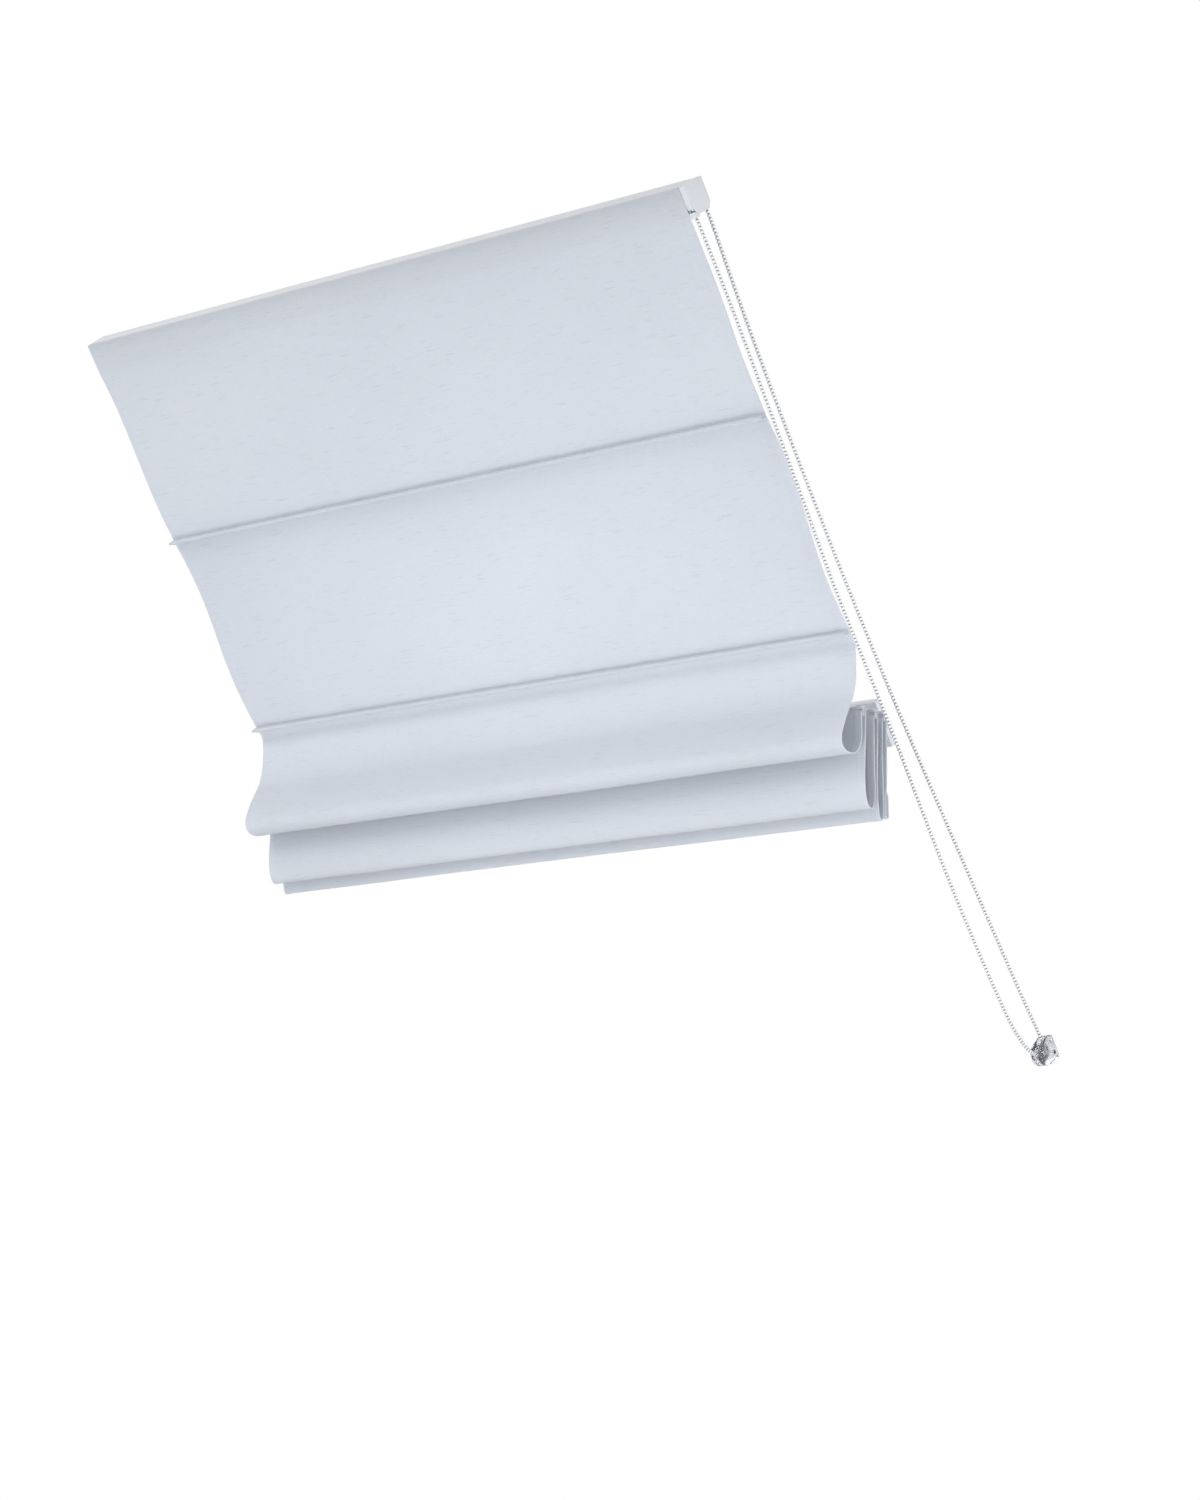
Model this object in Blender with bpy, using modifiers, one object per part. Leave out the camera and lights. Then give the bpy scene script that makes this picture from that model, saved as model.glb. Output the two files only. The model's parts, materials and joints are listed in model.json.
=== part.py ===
"""Roman blind for a sloping roof window, drawn partly raised.

The frame is metres with +X along the blind's width, +Y towards the window and +Z up.
The origin is on the sloping ceiling, at the middle of the headrail's middle bracket.
Pieces on the slope are placed in the slope frame: x along the width, y into the ceiling and z up the slope.
The gathered folds hang plumb, so they are placed in the fold frame, whose origin is the root of tuck 2.
"""
import math

import bmesh
import bpy
from mathutils import Matrix, Vector

# Overall sizes
ROOF_PITCH = math.radians(55.0)
FABRIC_WIDTH = 1.0
FABRIC_THICKNESS = 0.0009
STANDOFF = 0.036
FIT_GAP = 0.0003

# Distances down the slope from the fabric's top edge
TUCK_1_DROP = 0.288
TUCK_2_DROP = 0.573
PANEL_1_SAG = 0.0022
PANEL_2_SAG = 0.0055

# Tucks and battens
BATTEN_RADIUS = 0.0015
BATTEN_INSET = 0.009
TUCK_REACH = 0.0117
TUCK_NECK_GAP = 0.0004
TUCK_CLEARANCE = 0.0010
FOLD_TURN_RADIUS = 0.0009

# Gathered folds, measured from the root of tuck 2: forward is -Y
STACK_TOP = 0.088
LOOP_1_BACK = 0.0237
LOOP_1_BOTTOM = 0.1485
LOOP_1_FRONT = 0.0183
LOOP_2_WIDTH = 0.0170
LOOP_2_BOTTOM = 0.2100
LOOP_3_WIDTH = 0.0095
LOOP_3_BOTTOM = 0.2215
FLAP_BOTTOM = 0.2190
HEM_HEIGHT = 0.030
HEM_TURN_IN = 0.0008
FLAP_STRAIGHT = 0.035
FLAP_TAPER = 0.012
FLAP_LEAN = 0.001
WEIGHT_BAR_HEIGHT = 0.024
WEIGHT_BAR_THICKNESS = 0.004
WEIGHT_BAR_INSET = 0.006

# Headrail
RAIL_HEIGHT = 0.037
RAIL_WALL = 0.0014
RAIL_LIP = 0.0045
RAIL_END_SETBACK = 0.0020
STRIP_THICKNESS = 0.0018
STRIP_HEIGHT = 0.022
STRIP_INSET = 0.005
BRACKET_THICKNESS = 0.0018
BRACKET_WIDTH = 0.028
BRACKET_HOOK = 0.0026
BRACKET_HOLE_RADIUS = 0.0023
BRACKET_HOLE_SPREAD = 0.008
BRACKET_END_DISTANCE = 0.20
END_CAP_THICKNESS = 0.0017
PLUG_DEPTH = 0.014
PLUG_WALL = 0.0014

# Drive
SHAFT_SETBACK = 0.019
SHAFT_SIDE = 0.006
BEARING_LENGTH = 0.007
HOUSING_DEPTH = 0.0082
HOUSING_WALL = 0.0015
HOUSING_CORNER = 0.0065
HOUSING_NOSE_ROUND = 0.0065
CHAIN_NOSE = 0.0085
COVER_THICKNESS = 0.0015
CHAIN_RADIUS = 0.0021
SPROCKET_PITCH_RADIUS = 0.01275
SPROCKET_WIDTH = 0.0060
POST_RADIUS = 0.0036
POST_LENGTH = 0.024
SPRING_WIRE_RADIUS = 0.00045
SPRING_TURNS = 8
SPRING_PITCH = 0.0013
SLEEVE_WALL = 0.0016
SLEEVE_LENGTH = 0.014
HUB_LENGTH = 0.022

# Cord spools
CORD_RADIUS = 0.0007
SPOOL_RADIUS = 0.0085
SPOOL_FLANGE_RADIUS = 0.0105
SPOOL_WIDTH = 0.030
SPOOL_FLANGE = 0.0012
JOURNAL_RADIUS = 0.0055
JOURNAL_LENGTH = 0.005
CRADLE_WALL = 0.0012
CRADLE_UPRIGHT = 0.003
CORD_END_DISTANCE = 0.10
CORD_STANDOFF = 0.0095
SLOT_LENGTH = 0.010
SLOT_WIDTH = 0.010

# Rings on tapes
TAPE_HEIGHT = 0.008
TAPE_THICKNESS = 0.0006
RING_RADIUS = 0.005
RING_WIRE = 0.0009
RING_SINK = 0.0005

# Guide bar across the window opening
GUIDE_BAR_DROP = 0.684
GUIDE_BAR_HEIGHT = 0.061
GUIDE_BAR_DEPTH = 0.014
GUIDE_BAR_WALL = 0.0016
GUIDE_BAR_INSET = 0.0295
GUIDE_END_PLATE = 0.004
GUIDE_END_PLUG = 0.015
GUIDE_END_HOLE = 0.0022
EYELET_STANDOFF = 0.010
EYELET_RADIUS = 0.005
EYELET_BORE = 0.0022
EYELET_THICKNESS = 0.003
EYELET_FOOT = 0.0016
EYELET_FOOT_HEIGHT = 0.016

# Chain tensioner
TENSIONER_DROP = 1.170
TENSIONER_SETBACK = 0.0245
TENSIONER_OFFSET = 0.034
TENSIONER_WIDTH = 0.012
TENSIONER_WALL = 0.0015
TENSIONER_PITCH_RADIUS = 0.0105
TENSIONER_WHEEL_WIDTH = 0.0066
TENSIONER_CHAIN_ROOM = 0.006
TENSIONER_AXLE_RADIUS = 0.0015
TENSIONER_AXLE_HEAD = 0.0026
TENSIONER_FOOT_TOP = 0.010
TENSIONER_FOOT_BOTTOM = 0.0205
TENSIONER_HOLE_RADIUS = 0.0021
TENSIONER_BOSS_WALL = 0.0012
TENSIONER_SCREW_DROP = 0.0095
TENSIONER_SCREW_BACK = 0.0150
TENSIONER_SCREW_RADIUS = 0.0018
TENSIONER_SCREW_HEAD = 0.0046
TENSIONER_SCREW_HEAD_HEIGHT = 0.0018

# Positions worked out from the sizes above
HALF_WIDTH = FABRIC_WIDTH / 2
HALF_CLOTH = FABRIC_THICKNESS / 2
BRACKET_SPACING = HALF_WIDTH - BRACKET_END_DISTANCE
CORD_SPACING = HALF_WIDTH - CORD_END_DISTANCE
GUIDE_BAR_SPAN = FABRIC_WIDTH - 2 * GUIDE_BAR_INSET
RAIL_MIDDLE = RAIL_HEIGHT / 2
RAIL_FRONT = -STANDOFF + HALF_CLOTH + STRIP_THICKNESS + 2 * FIT_GAP
RAIL_BACK = -BRACKET_THICKNESS - FIT_GAP
RAIL_DEPTH = RAIL_BACK - RAIL_FRONT
SHAFT_Y = -SHAFT_SETBACK
CLOTH_BACK = -STANDOFF + HALF_CLOTH
BULB_RADIUS = BATTEN_RADIUS + FIT_GAP + HALF_CLOTH
BULB_MIDDLE = TUCK_REACH - BULB_RADIUS - HALF_CLOTH
NECK_HALF = (FABRIC_THICKNESS + TUCK_NECK_GAP) / 2
TUCK_WIDTH = 2 * (BULB_RADIUS + HALF_CLOTH + HALF_CLOTH + TUCK_CLEARANCE)
LOOP_2_FRONT = LOOP_1_BACK + TUCK_WIDTH
LOOP_2_BACK = LOOP_2_FRONT + LOOP_2_WIDTH
LOOP_3_FRONT = LOOP_2_BACK + TUCK_WIDTH
LOOP_3_BACK = LOOP_3_FRONT + LOOP_3_WIDTH
FLAP_FRONT = LOOP_3_BACK + TUCK_WIDTH
HOUSING_X = HALF_WIDTH + FIT_GAP
COVER_X = HOUSING_X + HOUSING_DEPTH + FIT_GAP
CHAIN_X = HOUSING_X + (HOUSING_WALL + HOUSING_DEPTH) / 2
GROOVE_RADIUS = CHAIN_RADIUS + FIT_GAP
SPRING_RADIUS = POST_RADIUS + SPRING_WIRE_RADIUS + FIT_GAP
SLEEVE_BORE = SPRING_RADIUS + SPRING_WIRE_RADIUS + FIT_GAP
SLEEVE_RADIUS = SLEEVE_BORE + SLEEVE_WALL
CORD_COUNT = 3
CORD_SIDES = ("left", "middle", "right")
CORD_Y = -STANDOFF + CORD_STANDOFF
CORD_LEAVE_Y = SHAFT_Y - SPOOL_RADIUS - CORD_RADIUS - FIT_GAP
TENSIONER_X = HALF_WIDTH + TENSIONER_OFFSET
TENSIONER_Z = RAIL_MIDDLE - TENSIONER_DROP
TENSIONER_Y = -TENSIONER_SETBACK
GUIDE_TOP = RAIL_MIDDLE - GUIDE_BAR_DROP
GUIDE_MIDDLE = GUIDE_TOP - GUIDE_BAR_HEIGHT / 2
EYELET_Z = GUIDE_TOP - EYELET_THICKNESS / 2 - FIT_GAP
EYELET_Y = -EYELET_STANDOFF

ALONG_X = Matrix(((0, 0, 1), (1, 0, 0), (0, 1, 0))).to_euler()

for old in list(bpy.data.objects):
    bpy.data.objects.remove(old)

part = bpy.data.collections.new("skylight_window_blind")
bpy.context.scene.collection.children.link(part)
cutters = bpy.data.collections.new("cutters")
bpy.context.scene.collection.children.link(cutters)


def empty(name, location, pitch=0.0):
    """An empty that carries the pieces placed in its frame."""
    result = bpy.data.objects.new(name, None)
    result.location = location
    result.rotation_euler = (pitch, 0, 0)
    part.objects.link(result)
    return result


def slope_point(y, z):
    """World Y and Z of a point of the slope frame."""
    lean = math.pi / 2 - ROOF_PITCH
    return (
        y * math.cos(lean) - z * math.sin(lean),
        y * math.sin(lean) + z * math.cos(lean),
    )


SLOPE = empty("slope", (0, 0, 0), math.pi / 2 - ROOF_PITCH)
FOLD_Y, FOLD_Z = slope_point(-STANDOFF, RAIL_MIDDLE - TUCK_2_DROP)
FOLD = empty("fold_root", (0, FOLD_Y, FOLD_Z))


def fold_point(y, z):
    """A point of the slope frame, given in the fold frame."""
    world_y, world_z = slope_point(y, z)
    return world_y - FOLD_Y, world_z - FOLD_Z


def paint(obj, name, colour, roughness, metallic=0.0, alpha=1.0):
    """Give the object a Principled material, shared by name."""
    material = bpy.data.materials.get(name)
    if material is None:
        material = bpy.data.materials.new(name)
        material.use_nodes = True
        shader = material.node_tree.nodes["Principled BSDF"]
        shader.inputs["Base Color"].default_value = (*colour, 1)
        shader.inputs["Roughness"].default_value = roughness
        shader.inputs["Metallic"].default_value = metallic
        shader.inputs["Alpha"].default_value = alpha
    obj.data.materials.clear()
    obj.data.materials.append(material)
    return obj


def cloth(obj):
    return paint(obj, "white_linen", (0.82, 0.84, 0.88), 0.9)


def white_metal(obj):
    return paint(obj, "white_lacquered_metal", (0.86, 0.87, 0.88), 0.4)


def white_plastic(obj):
    return paint(obj, "white_plastic", (0.85, 0.87, 0.9), 0.35)


def clear_plastic(obj):
    return paint(obj, "clear_plastic", (0.6, 0.62, 0.68), 0.1, alpha=0.4)


def steel(obj):
    return paint(obj, "bright_steel", (0.7, 0.7, 0.72), 0.3, 1.0)


def aluminium(obj):
    return paint(obj, "bar_aluminium", (0.8, 0.8, 0.82), 0.4, 0.8)


def white_cord(obj):
    return paint(obj, "white_cord", (0.9, 0.9, 0.9), 0.8)


def rod_fibre(obj):
    return paint(obj, "glass_fibre_rod", (0.88, 0.88, 0.84), 0.5)


def place(obj, frame, collection=None):
    """Link the object and put it in the frame's space."""
    (collection or part).objects.link(obj)
    obj.parent = frame
    return obj


def section(name, outline, length, x_middle=0.0, frame=SLOPE):
    """A flat outline of (y, z) points, drawn out along X."""
    curve = bpy.data.curves.new(name, "CURVE")
    curve.dimensions = "2D"
    curve.fill_mode = "BOTH"
    curve.extrude = length / 2
    spline = curve.splines.new("POLY")
    spline.points.add(len(outline) - 1)
    for point, (y, z) in zip(spline.points, outline):
        point.co = (y, z, 0, 1)
    spline.use_cyclic_u = True
    obj = bpy.data.objects.new(name, curve)
    obj.rotation_euler = ALONG_X
    obj.location = (x_middle, 0, 0)
    return place(obj, frame)


def tube(name, points, radius, frame=SLOPE, closed=False, detail=2):
    """A round bar or cord along the points."""
    curve = bpy.data.curves.new(name, "CURVE")
    curve.dimensions = "3D"
    curve.bevel_depth = radius
    curve.bevel_resolution = detail
    curve.use_fill_caps = not closed
    spline = curve.splines.new("POLY")
    spline.points.add(len(points) - 1)
    for point, place_at in zip(spline.points, points):
        point.co = (*place_at, 1)
    spline.use_cyclic_u = closed
    return place(bpy.data.objects.new(name, curve), frame)


def solid(obj):
    """The evaluated curve as a welded mesh object of the same name."""
    bpy.context.view_layer.update()
    graph = bpy.context.evaluated_depsgraph_get()
    mesh = bpy.data.meshes.new_from_object(obj.evaluated_get(graph))
    weld = bmesh.new()
    weld.from_mesh(mesh)
    bmesh.ops.remove_doubles(weld, verts=weld.verts, dist=0.00001)
    bmesh.ops.recalc_face_normals(weld, faces=weld.faces)
    weld.to_mesh(mesh)
    weld.free()
    name, world, frame = obj.name, obj.matrix_world.copy(), obj.parent
    collection = obj.users_collection[0]
    bpy.data.objects.remove(obj)
    result = bpy.data.objects.new(name, mesh)
    collection.objects.link(result)
    result.parent = frame
    result.matrix_world = world
    return result


def box(name, low, high, frame=SLOPE):
    """A box between two corners."""
    mesh = bpy.data.meshes.new(name)
    cube = bmesh.new()
    bmesh.ops.create_cube(cube, size=1)
    size = Vector(high) - Vector(low)
    bmesh.ops.scale(cube, vec=size, verts=cube.verts)
    bmesh.ops.translate(cube, vec=(Vector(high) + Vector(low)) / 2, verts=cube.verts)
    cube.to_mesh(mesh)
    cube.free()
    return place(bpy.data.objects.new(name, mesh), frame)


def cylinder(name, centre, radius, length, axis="x", sides=24, frame=SLOPE):
    """A cylinder about its centre along one axis of the frame."""
    mesh = bpy.data.meshes.new(name)
    drum = bmesh.new()
    bmesh.ops.create_cone(
        drum, cap_ends=True, segments=sides, radius1=radius, radius2=radius, depth=length
    )
    drum.to_mesh(mesh)
    drum.free()
    obj = bpy.data.objects.new(name, mesh)
    quarter = math.pi / 2
    obj.rotation_euler = {"x": ALONG_X, "y": (quarter, 0, 0), "z": (0, 0, 0)}[axis]
    obj.location = centre
    return place(obj, frame)


def turned(name, profile, centre, frame=SLOPE, sides=32, ring=True):
    """A profile of (radius, along) points turned about X; its outer side runs down in along."""
    mesh = bpy.data.meshes.new(name)
    count = len(profile)
    edges = [(i, (i + 1) % count) for i in range(count if ring else count - 1)]
    mesh.from_pydata([(r, 0, a) for r, a in profile], edges, [])
    obj = bpy.data.objects.new(name, mesh)
    obj.rotation_euler = ALONG_X
    obj.location = centre
    screw = obj.modifiers.new("turn", "SCREW")
    screw.axis = "Z"
    screw.steps = sides
    screw.render_steps = sides
    screw.use_merge_vertices = True
    screw.merge_threshold = 0.00001
    screw.use_smooth_shade = False
    return place(obj, frame)


def combine(obj, other, operation):
    """Join the other object to obj, or cut it out, and keep the other as a wire guide."""
    step = obj.modifiers.new(operation.lower(), "BOOLEAN")
    step.operation = operation
    step.solver = "EXACT"
    step.object = other
    for collection in other.users_collection:
        collection.objects.unlink(other)
    cutters.objects.link(other)
    other.hide_render = True
    other.display_type = "WIRE"
    return obj


def cut(obj, *others):
    for other in others:
        combine(obj, other, "DIFFERENCE")
    return obj


def join(obj, *others):
    for other in others:
        combine(obj, other, "UNION")
    return obj


def arc(centre, radius, start, stop, steps):
    """Points of an arc, angles in degrees."""
    points = []
    for i in range(steps + 1):
        angle = math.radians(start + (stop - start) * i / steps)
        points.append((centre[0] + radius * math.cos(angle), centre[1] + radius * math.sin(angle)))
    return points


def rounded(y_low, y_high, z_low, z_high, radii, steps=4):
    """A rectangle with a radius for each corner: low-low, high-low, high-high, low-high."""
    corners = (
        (y_low, z_low, 1, 1, 180),
        (y_high, z_low, -1, 1, 270),
        (y_high, z_high, -1, -1, 0),
        (y_low, z_high, 1, -1, 90),
    )
    points = []
    for (y, z, side_y, side_z, start), radius in zip(corners, radii):
        if radius <= 0:
            points.append((y, z))
            continue
        centre = (y + side_y * radius, z + side_z * radius)
        points += arc(centre, radius, start, start + 90, steps)
    return points


def smooth(points, steps):
    """A smooth curve through the points."""
    vectors = [Vector(p) for p in points]
    ends = [2 * vectors[0] - vectors[1]], [2 * vectors[-1] - vectors[-2]]
    run = ends[0] + vectors + ends[1]
    result = []
    for i in range(1, len(run) - 2):
        before, first, last, after = run[i - 1 : i + 3]
        for k in range(steps):
            t = k / steps
            bend = 2 * first + (last - before) * t
            bend += (2 * before - 5 * first + 4 * last - after) * t**2
            bend += (3 * first - before - 3 * last + after) * t**3
            result.append(tuple(bend / 2))
    result.append(tuple(vectors[-1]))
    return result


def ribbon(middle, thickness=FABRIC_THICKNESS):
    """The closed outline of a sheet that follows the middle line."""
    line = [Vector(p) for p in middle]
    near, far = [], []
    for i, point in enumerate(line):
        before = (point - line[i - 1]).normalized() if i else None
        after = (line[i + 1] - point).normalized() if i + 1 < len(line) else None
        before = before or after
        after = after or before
        side = Vector((-before.y - after.y, before.x + after.x)).normalized()
        reach = thickness / 2 / max(side.dot(Vector((-after.y, after.x))), 0.5)
        near.append(tuple(point + side * reach))
        far.append(tuple(point - side * reach))
    return near + far[::-1]


def pocket_start():
    """Angle at which the cloth that runs straight from the tuck's root meets its batten."""
    back = BULB_MIDDLE - FOLD_TURN_RADIUS
    away = math.hypot(back, NECK_HALF)
    return 180 - math.degrees(math.atan2(NECK_HALF, back) + math.acos(BULB_RADIUS / away))


def tuck(root, out, down):
    """Middle line of a tuck: out is its direction, down the way the sheet goes on."""
    out, down, root = Vector(out), Vector(down), Vector(root)
    turn = FOLD_TURN_RADIUS
    half = []
    for along, aside in arc((turn, NECK_HALF + turn), turn, 180, 270, 3):
        half.append((along, aside))
    for along, aside in arc((BULB_MIDDLE, 0), BULB_RADIUS, pocket_start(), 0, 5):
        half.append((along, aside))
    points = [root + out * along - down * aside for along, aside in half]
    points += [root + out * along + down * aside for along, aside in half[-2::-1]]
    return [tuple(p) for p in points]


def hung_tuck(y_back, y_front):
    """Middle line over the top of the stack, with a tuck that points down in the middle."""
    middle = (y_back + y_front) / 2
    top = -STACK_TOP
    turn = (middle - NECK_HALF - y_back) / 2
    points = arc((y_back + turn, top - turn), turn, 180, 0, 6)
    bulb = top - BULB_MIDDLE
    points.append((middle - NECK_HALF, bulb + 1.5 * BULB_RADIUS))
    points += arc((middle, bulb), BULB_RADIUS, 135, 405, 10)
    points.append((middle + NECK_HALF, bulb + 1.5 * BULB_RADIUS))
    points += arc((y_front - turn, top - turn), turn, 180, 0, 6)
    return points


def tuck_middle(y_back):
    """Fold-frame Y of a gathered tuck behind the sheet at y_back."""
    return y_back + TUCK_WIDTH / 2


BATTEN_DROP = STACK_TOP + BULB_MIDDLE


def panel(start, length, sag, steps):
    """Middle line of a panel on the slope, from start down, bulging first to the window."""
    points = []
    for i in range(steps + 1):
        share = i / steps
        y = -STANDOFF + sag * math.sin(2 * math.pi * share)
        points.append((y, RAIL_MIDDLE - start - length * share))
    return points


def upper_fabric():
    """Panels 1 and 2 with their tucks, from the headrail to the root of tuck 2."""
    half_root = NECK_HALF + FOLD_TURN_RADIUS
    line = [(-STANDOFF, RAIL_MIDDLE)]
    line += panel(RAIL_HEIGHT, TUCK_1_DROP - half_root - RAIL_HEIGHT, PANEL_1_SAG, 20)
    line += tuck((-STANDOFF, RAIL_MIDDLE - TUCK_1_DROP), (-1, 0), (0, -1))
    second = TUCK_1_DROP + half_root
    line += panel(second, TUCK_2_DROP - half_root - second, PANEL_2_SAG, 24)
    line += tuck((-STANDOFF, RAIL_MIDDLE - TUCK_2_DROP), (-1, 0), (0, -1))
    line = [p for i, p in enumerate(line) if i == 0 or (Vector(p) - Vector(line[i - 1])).length > 1e-5]
    cloth(section("fabric_upper", ribbon(line), FABRIC_WIDTH))


def loop_1():
    """Panel 3: hangs from tuck 2, swings forward and turns up behind."""
    bottom, front, back = LOOP_1_BOTTOM, LOOP_1_FRONT, LOOP_1_BACK
    root_y, root_z = fold_point(-STANDOFF, RAIL_MIDDLE - TUCK_2_DROP - NECK_HALF - FOLD_TURN_RADIUS)
    lead = FIT_GAP + HALF_CLOTH
    knots = [
        (root_y + lead * math.cos(ROOF_PITCH), root_z - lead * math.sin(ROOF_PITCH)),
        (back * 0.42, -bottom * 0.075),
        (back * 0.52, -bottom * 0.16),
        (back * 0.53, -bottom * 0.27),
        (back * 0.48, -bottom * 0.40),
        (back * 0.26, -bottom * 0.53),
        (-front * 0.11, -bottom * 0.63),
        (-front * 0.62, -bottom * 0.75),
        (-front * 0.94, -bottom * 0.85),
        (-front, -bottom * 0.905),
        (-front * 0.86, -bottom * 0.958),
        (-front * 0.50, -bottom * 0.990),
        (0, -bottom),
        (back * 0.40, -bottom * 0.990),
        (back * 0.74, -bottom * 0.950),
        (back * 0.94, -bottom * 0.875),
        (back, -bottom * 0.790),
        (back, -bottom * 0.700),
        (back, -STACK_TOP - TUCK_WIDTH / 2),
    ]
    cloth(section("fabric_panel_3", ribbon(smooth(knots, 3)), FABRIC_WIDTH, frame=FOLD))


def hanging_loop(y_front, y_back, bottom, bulge):
    """Middle line of a gathered loop, down at y_front and up again at y_back."""
    wide = y_back - y_front
    depth = bottom - STACK_TOP
    knots = [
        (y_front, -STACK_TOP - TUCK_WIDTH / 2),
        (y_front - bulge * 0.3, -STACK_TOP - depth * 0.30),
        (y_front - bulge, -STACK_TOP - depth * 0.60),
        (y_front - bulge, -STACK_TOP - depth * 0.82),
        (y_front + wide * 0.08 - bulge * 0.5, -bottom + depth * 0.06),
        (y_front + wide * 0.34 - bulge * 0.2, -bottom),
        (y_front + wide * 0.68, -bottom),
        (y_back - wide * 0.06 + bulge * 0.2, -bottom + depth * 0.06),
        (y_back + bulge * 0.4, -STACK_TOP - depth * 0.80),
        (y_back, -STACK_TOP - depth * 0.50),
        (y_back, -STACK_TOP - TUCK_WIDTH / 2),
    ]
    return smooth(knots, 3)


def gathered_panel(name, tuck_from, y_front, y_back, bottom, bulge):
    """A panel of the stack: over its tuck at the top, then down and up as a loop."""
    line = hung_tuck(tuck_from, y_front)
    first = (tuck_from, -STACK_TOP - TUCK_WIDTH / 2 + FIT_GAP)
    line = [first] + line + hanging_loop(y_front, y_back, bottom, bulge)
    cloth(section(name, ribbon(line), FABRIC_WIDTH, frame=FOLD))


def bottom_flap():
    """The last half panel, with the hem that holds the weight bar."""
    front, back = weight_bar_faces()
    hem_front = front - HALF_CLOTH - FIT_GAP
    hem_back = back + HALF_CLOTH + FIT_GAP
    turn = (hem_back - hem_front) / 2
    low = -FLAP_BOTTOM + turn
    line = [(LOOP_3_BACK, -STACK_TOP - TUCK_WIDTH / 2 + FIT_GAP)]
    line += hung_tuck(LOOP_3_BACK, FLAP_FRONT)
    line += smooth(
        [
            (FLAP_FRONT, -STACK_TOP - TUCK_WIDTH / 2),
            (FLAP_FRONT, -STACK_TOP - FLAP_STRAIGHT),
            (FLAP_FRONT - FLAP_LEAN, low + HEM_HEIGHT + FLAP_TAPER),
            (hem_front, low + WEIGHT_BAR_HEIGHT),
        ],
        3,
    )
    line += arc(((hem_front + hem_back) / 2, low), turn, 180, 360, 8)
    line.append((hem_back, low + WEIGHT_BAR_HEIGHT))
    line.append((hem_front + FABRIC_THICKNESS + 2 * FIT_GAP + HEM_TURN_IN, low + HEM_HEIGHT))
    cloth(section("fabric_bottom_flap", ribbon(line), FABRIC_WIDTH, frame=FOLD))


def weight_bar_faces():
    """Fold-frame Y of the weight bar's front and back faces."""
    front = FLAP_FRONT - TUCK_WIDTH / 2 + WEIGHT_BAR_THICKNESS / 4
    return front, front + WEIGHT_BAR_THICKNESS


def weight_bar():
    front, back = weight_bar_faces()
    turn = (back - front) / 2 + HALF_CLOTH + FIT_GAP
    low = -FLAP_BOTTOM + turn - WEIGHT_BAR_THICKNESS / 2
    length = FABRIC_WIDTH - 2 * WEIGHT_BAR_INSET
    bevel = WEIGHT_BAR_THICKNESS / 2 - 0.0001
    outline = rounded(front, back, low, low + WEIGHT_BAR_HEIGHT, (bevel, bevel, 0.001, 0.001), 3)
    aluminium(section("weight_bar", outline, length, frame=FOLD))


def battens():
    half = HALF_WIDTH - BATTEN_INSET
    for number, drop in ((1, TUCK_1_DROP), (2, TUCK_2_DROP)):
        y = -STANDOFF - BULB_MIDDLE
        z = RAIL_MIDDLE - drop
        rod = cylinder(f"batten_{number}", (0, y, z), BATTEN_RADIUS, 2 * half, sides=12)
        rod_fibre(rod)
    for number, y_back in ((3, LOOP_1_BACK), (4, LOOP_2_BACK), (5, LOOP_3_BACK)):
        centre = (0, tuck_middle(y_back), -BATTEN_DROP)
        rod = cylinder(f"batten_{number}", centre, BATTEN_RADIUS, 2 * half, sides=12, frame=FOLD)
        rod_fibre(rod)


def ring(name, centre, axis, frame):
    """A plain ring whose hole runs along the axis."""
    points = []
    for i in range(14):
        angle = 2 * math.pi * i / 14
        across, aside = RING_RADIUS * math.cos(angle), RING_RADIUS * math.sin(angle)
        offset = (across, aside, 0) if axis == "z" else (across, 0, aside)
        points.append(tuple(Vector(centre) + Vector(offset)))
    return solid(tube(name, points, RING_WIRE, frame, closed=True, detail=1))


def cord_positions():
    """The side's name and X of each lift cord."""
    middle = (CORD_COUNT - 1) / 2
    return [(side, (i - middle) * CORD_SPACING) for i, side in enumerate(CORD_SIDES)]


def ring_tapes():
    half = HALF_WIDTH - BATTEN_INSET
    reach = RING_RADIUS + RING_WIRE - RING_SINK
    for number, drop in ((1, TUCK_1_DROP), (2, TUCK_2_DROP)):
        low_y = CLOTH_BACK + FIT_GAP
        high_y = low_y + TAPE_THICKNESS
        root = RAIL_MIDDLE - drop + NECK_HALF
        tape = box(f"ring_tape_{number}", (-half, low_y, root), (half, high_y, root + TAPE_HEIGHT))
        for side, x in cord_positions():
            centre = (x, high_y + reach, root + TAPE_HEIGHT / 2)
            join(tape, ring(f"ring_{number}_{side}", centre, "z", SLOPE))
        white_cord(tape)
    for number, y_back in ((3, LOOP_1_BACK), (4, LOOP_2_BACK), (5, LOOP_3_BACK)):
        y = tuck_middle(y_back)
        low_z = -STACK_TOP + HALF_CLOTH + FIT_GAP
        high_z = low_z + TAPE_THICKNESS
        low = (-half, y - TAPE_HEIGHT / 2, low_z)
        tape = box(f"ring_tape_{number}", low, (half, y + TAPE_HEIGHT / 2, high_z), FOLD)
        for side, x in cord_positions():
            centre = (x, y, high_z + reach)
            join(tape, ring(f"ring_{number}_{side}", centre, "y", FOLD))
        white_cord(tape)


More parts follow.
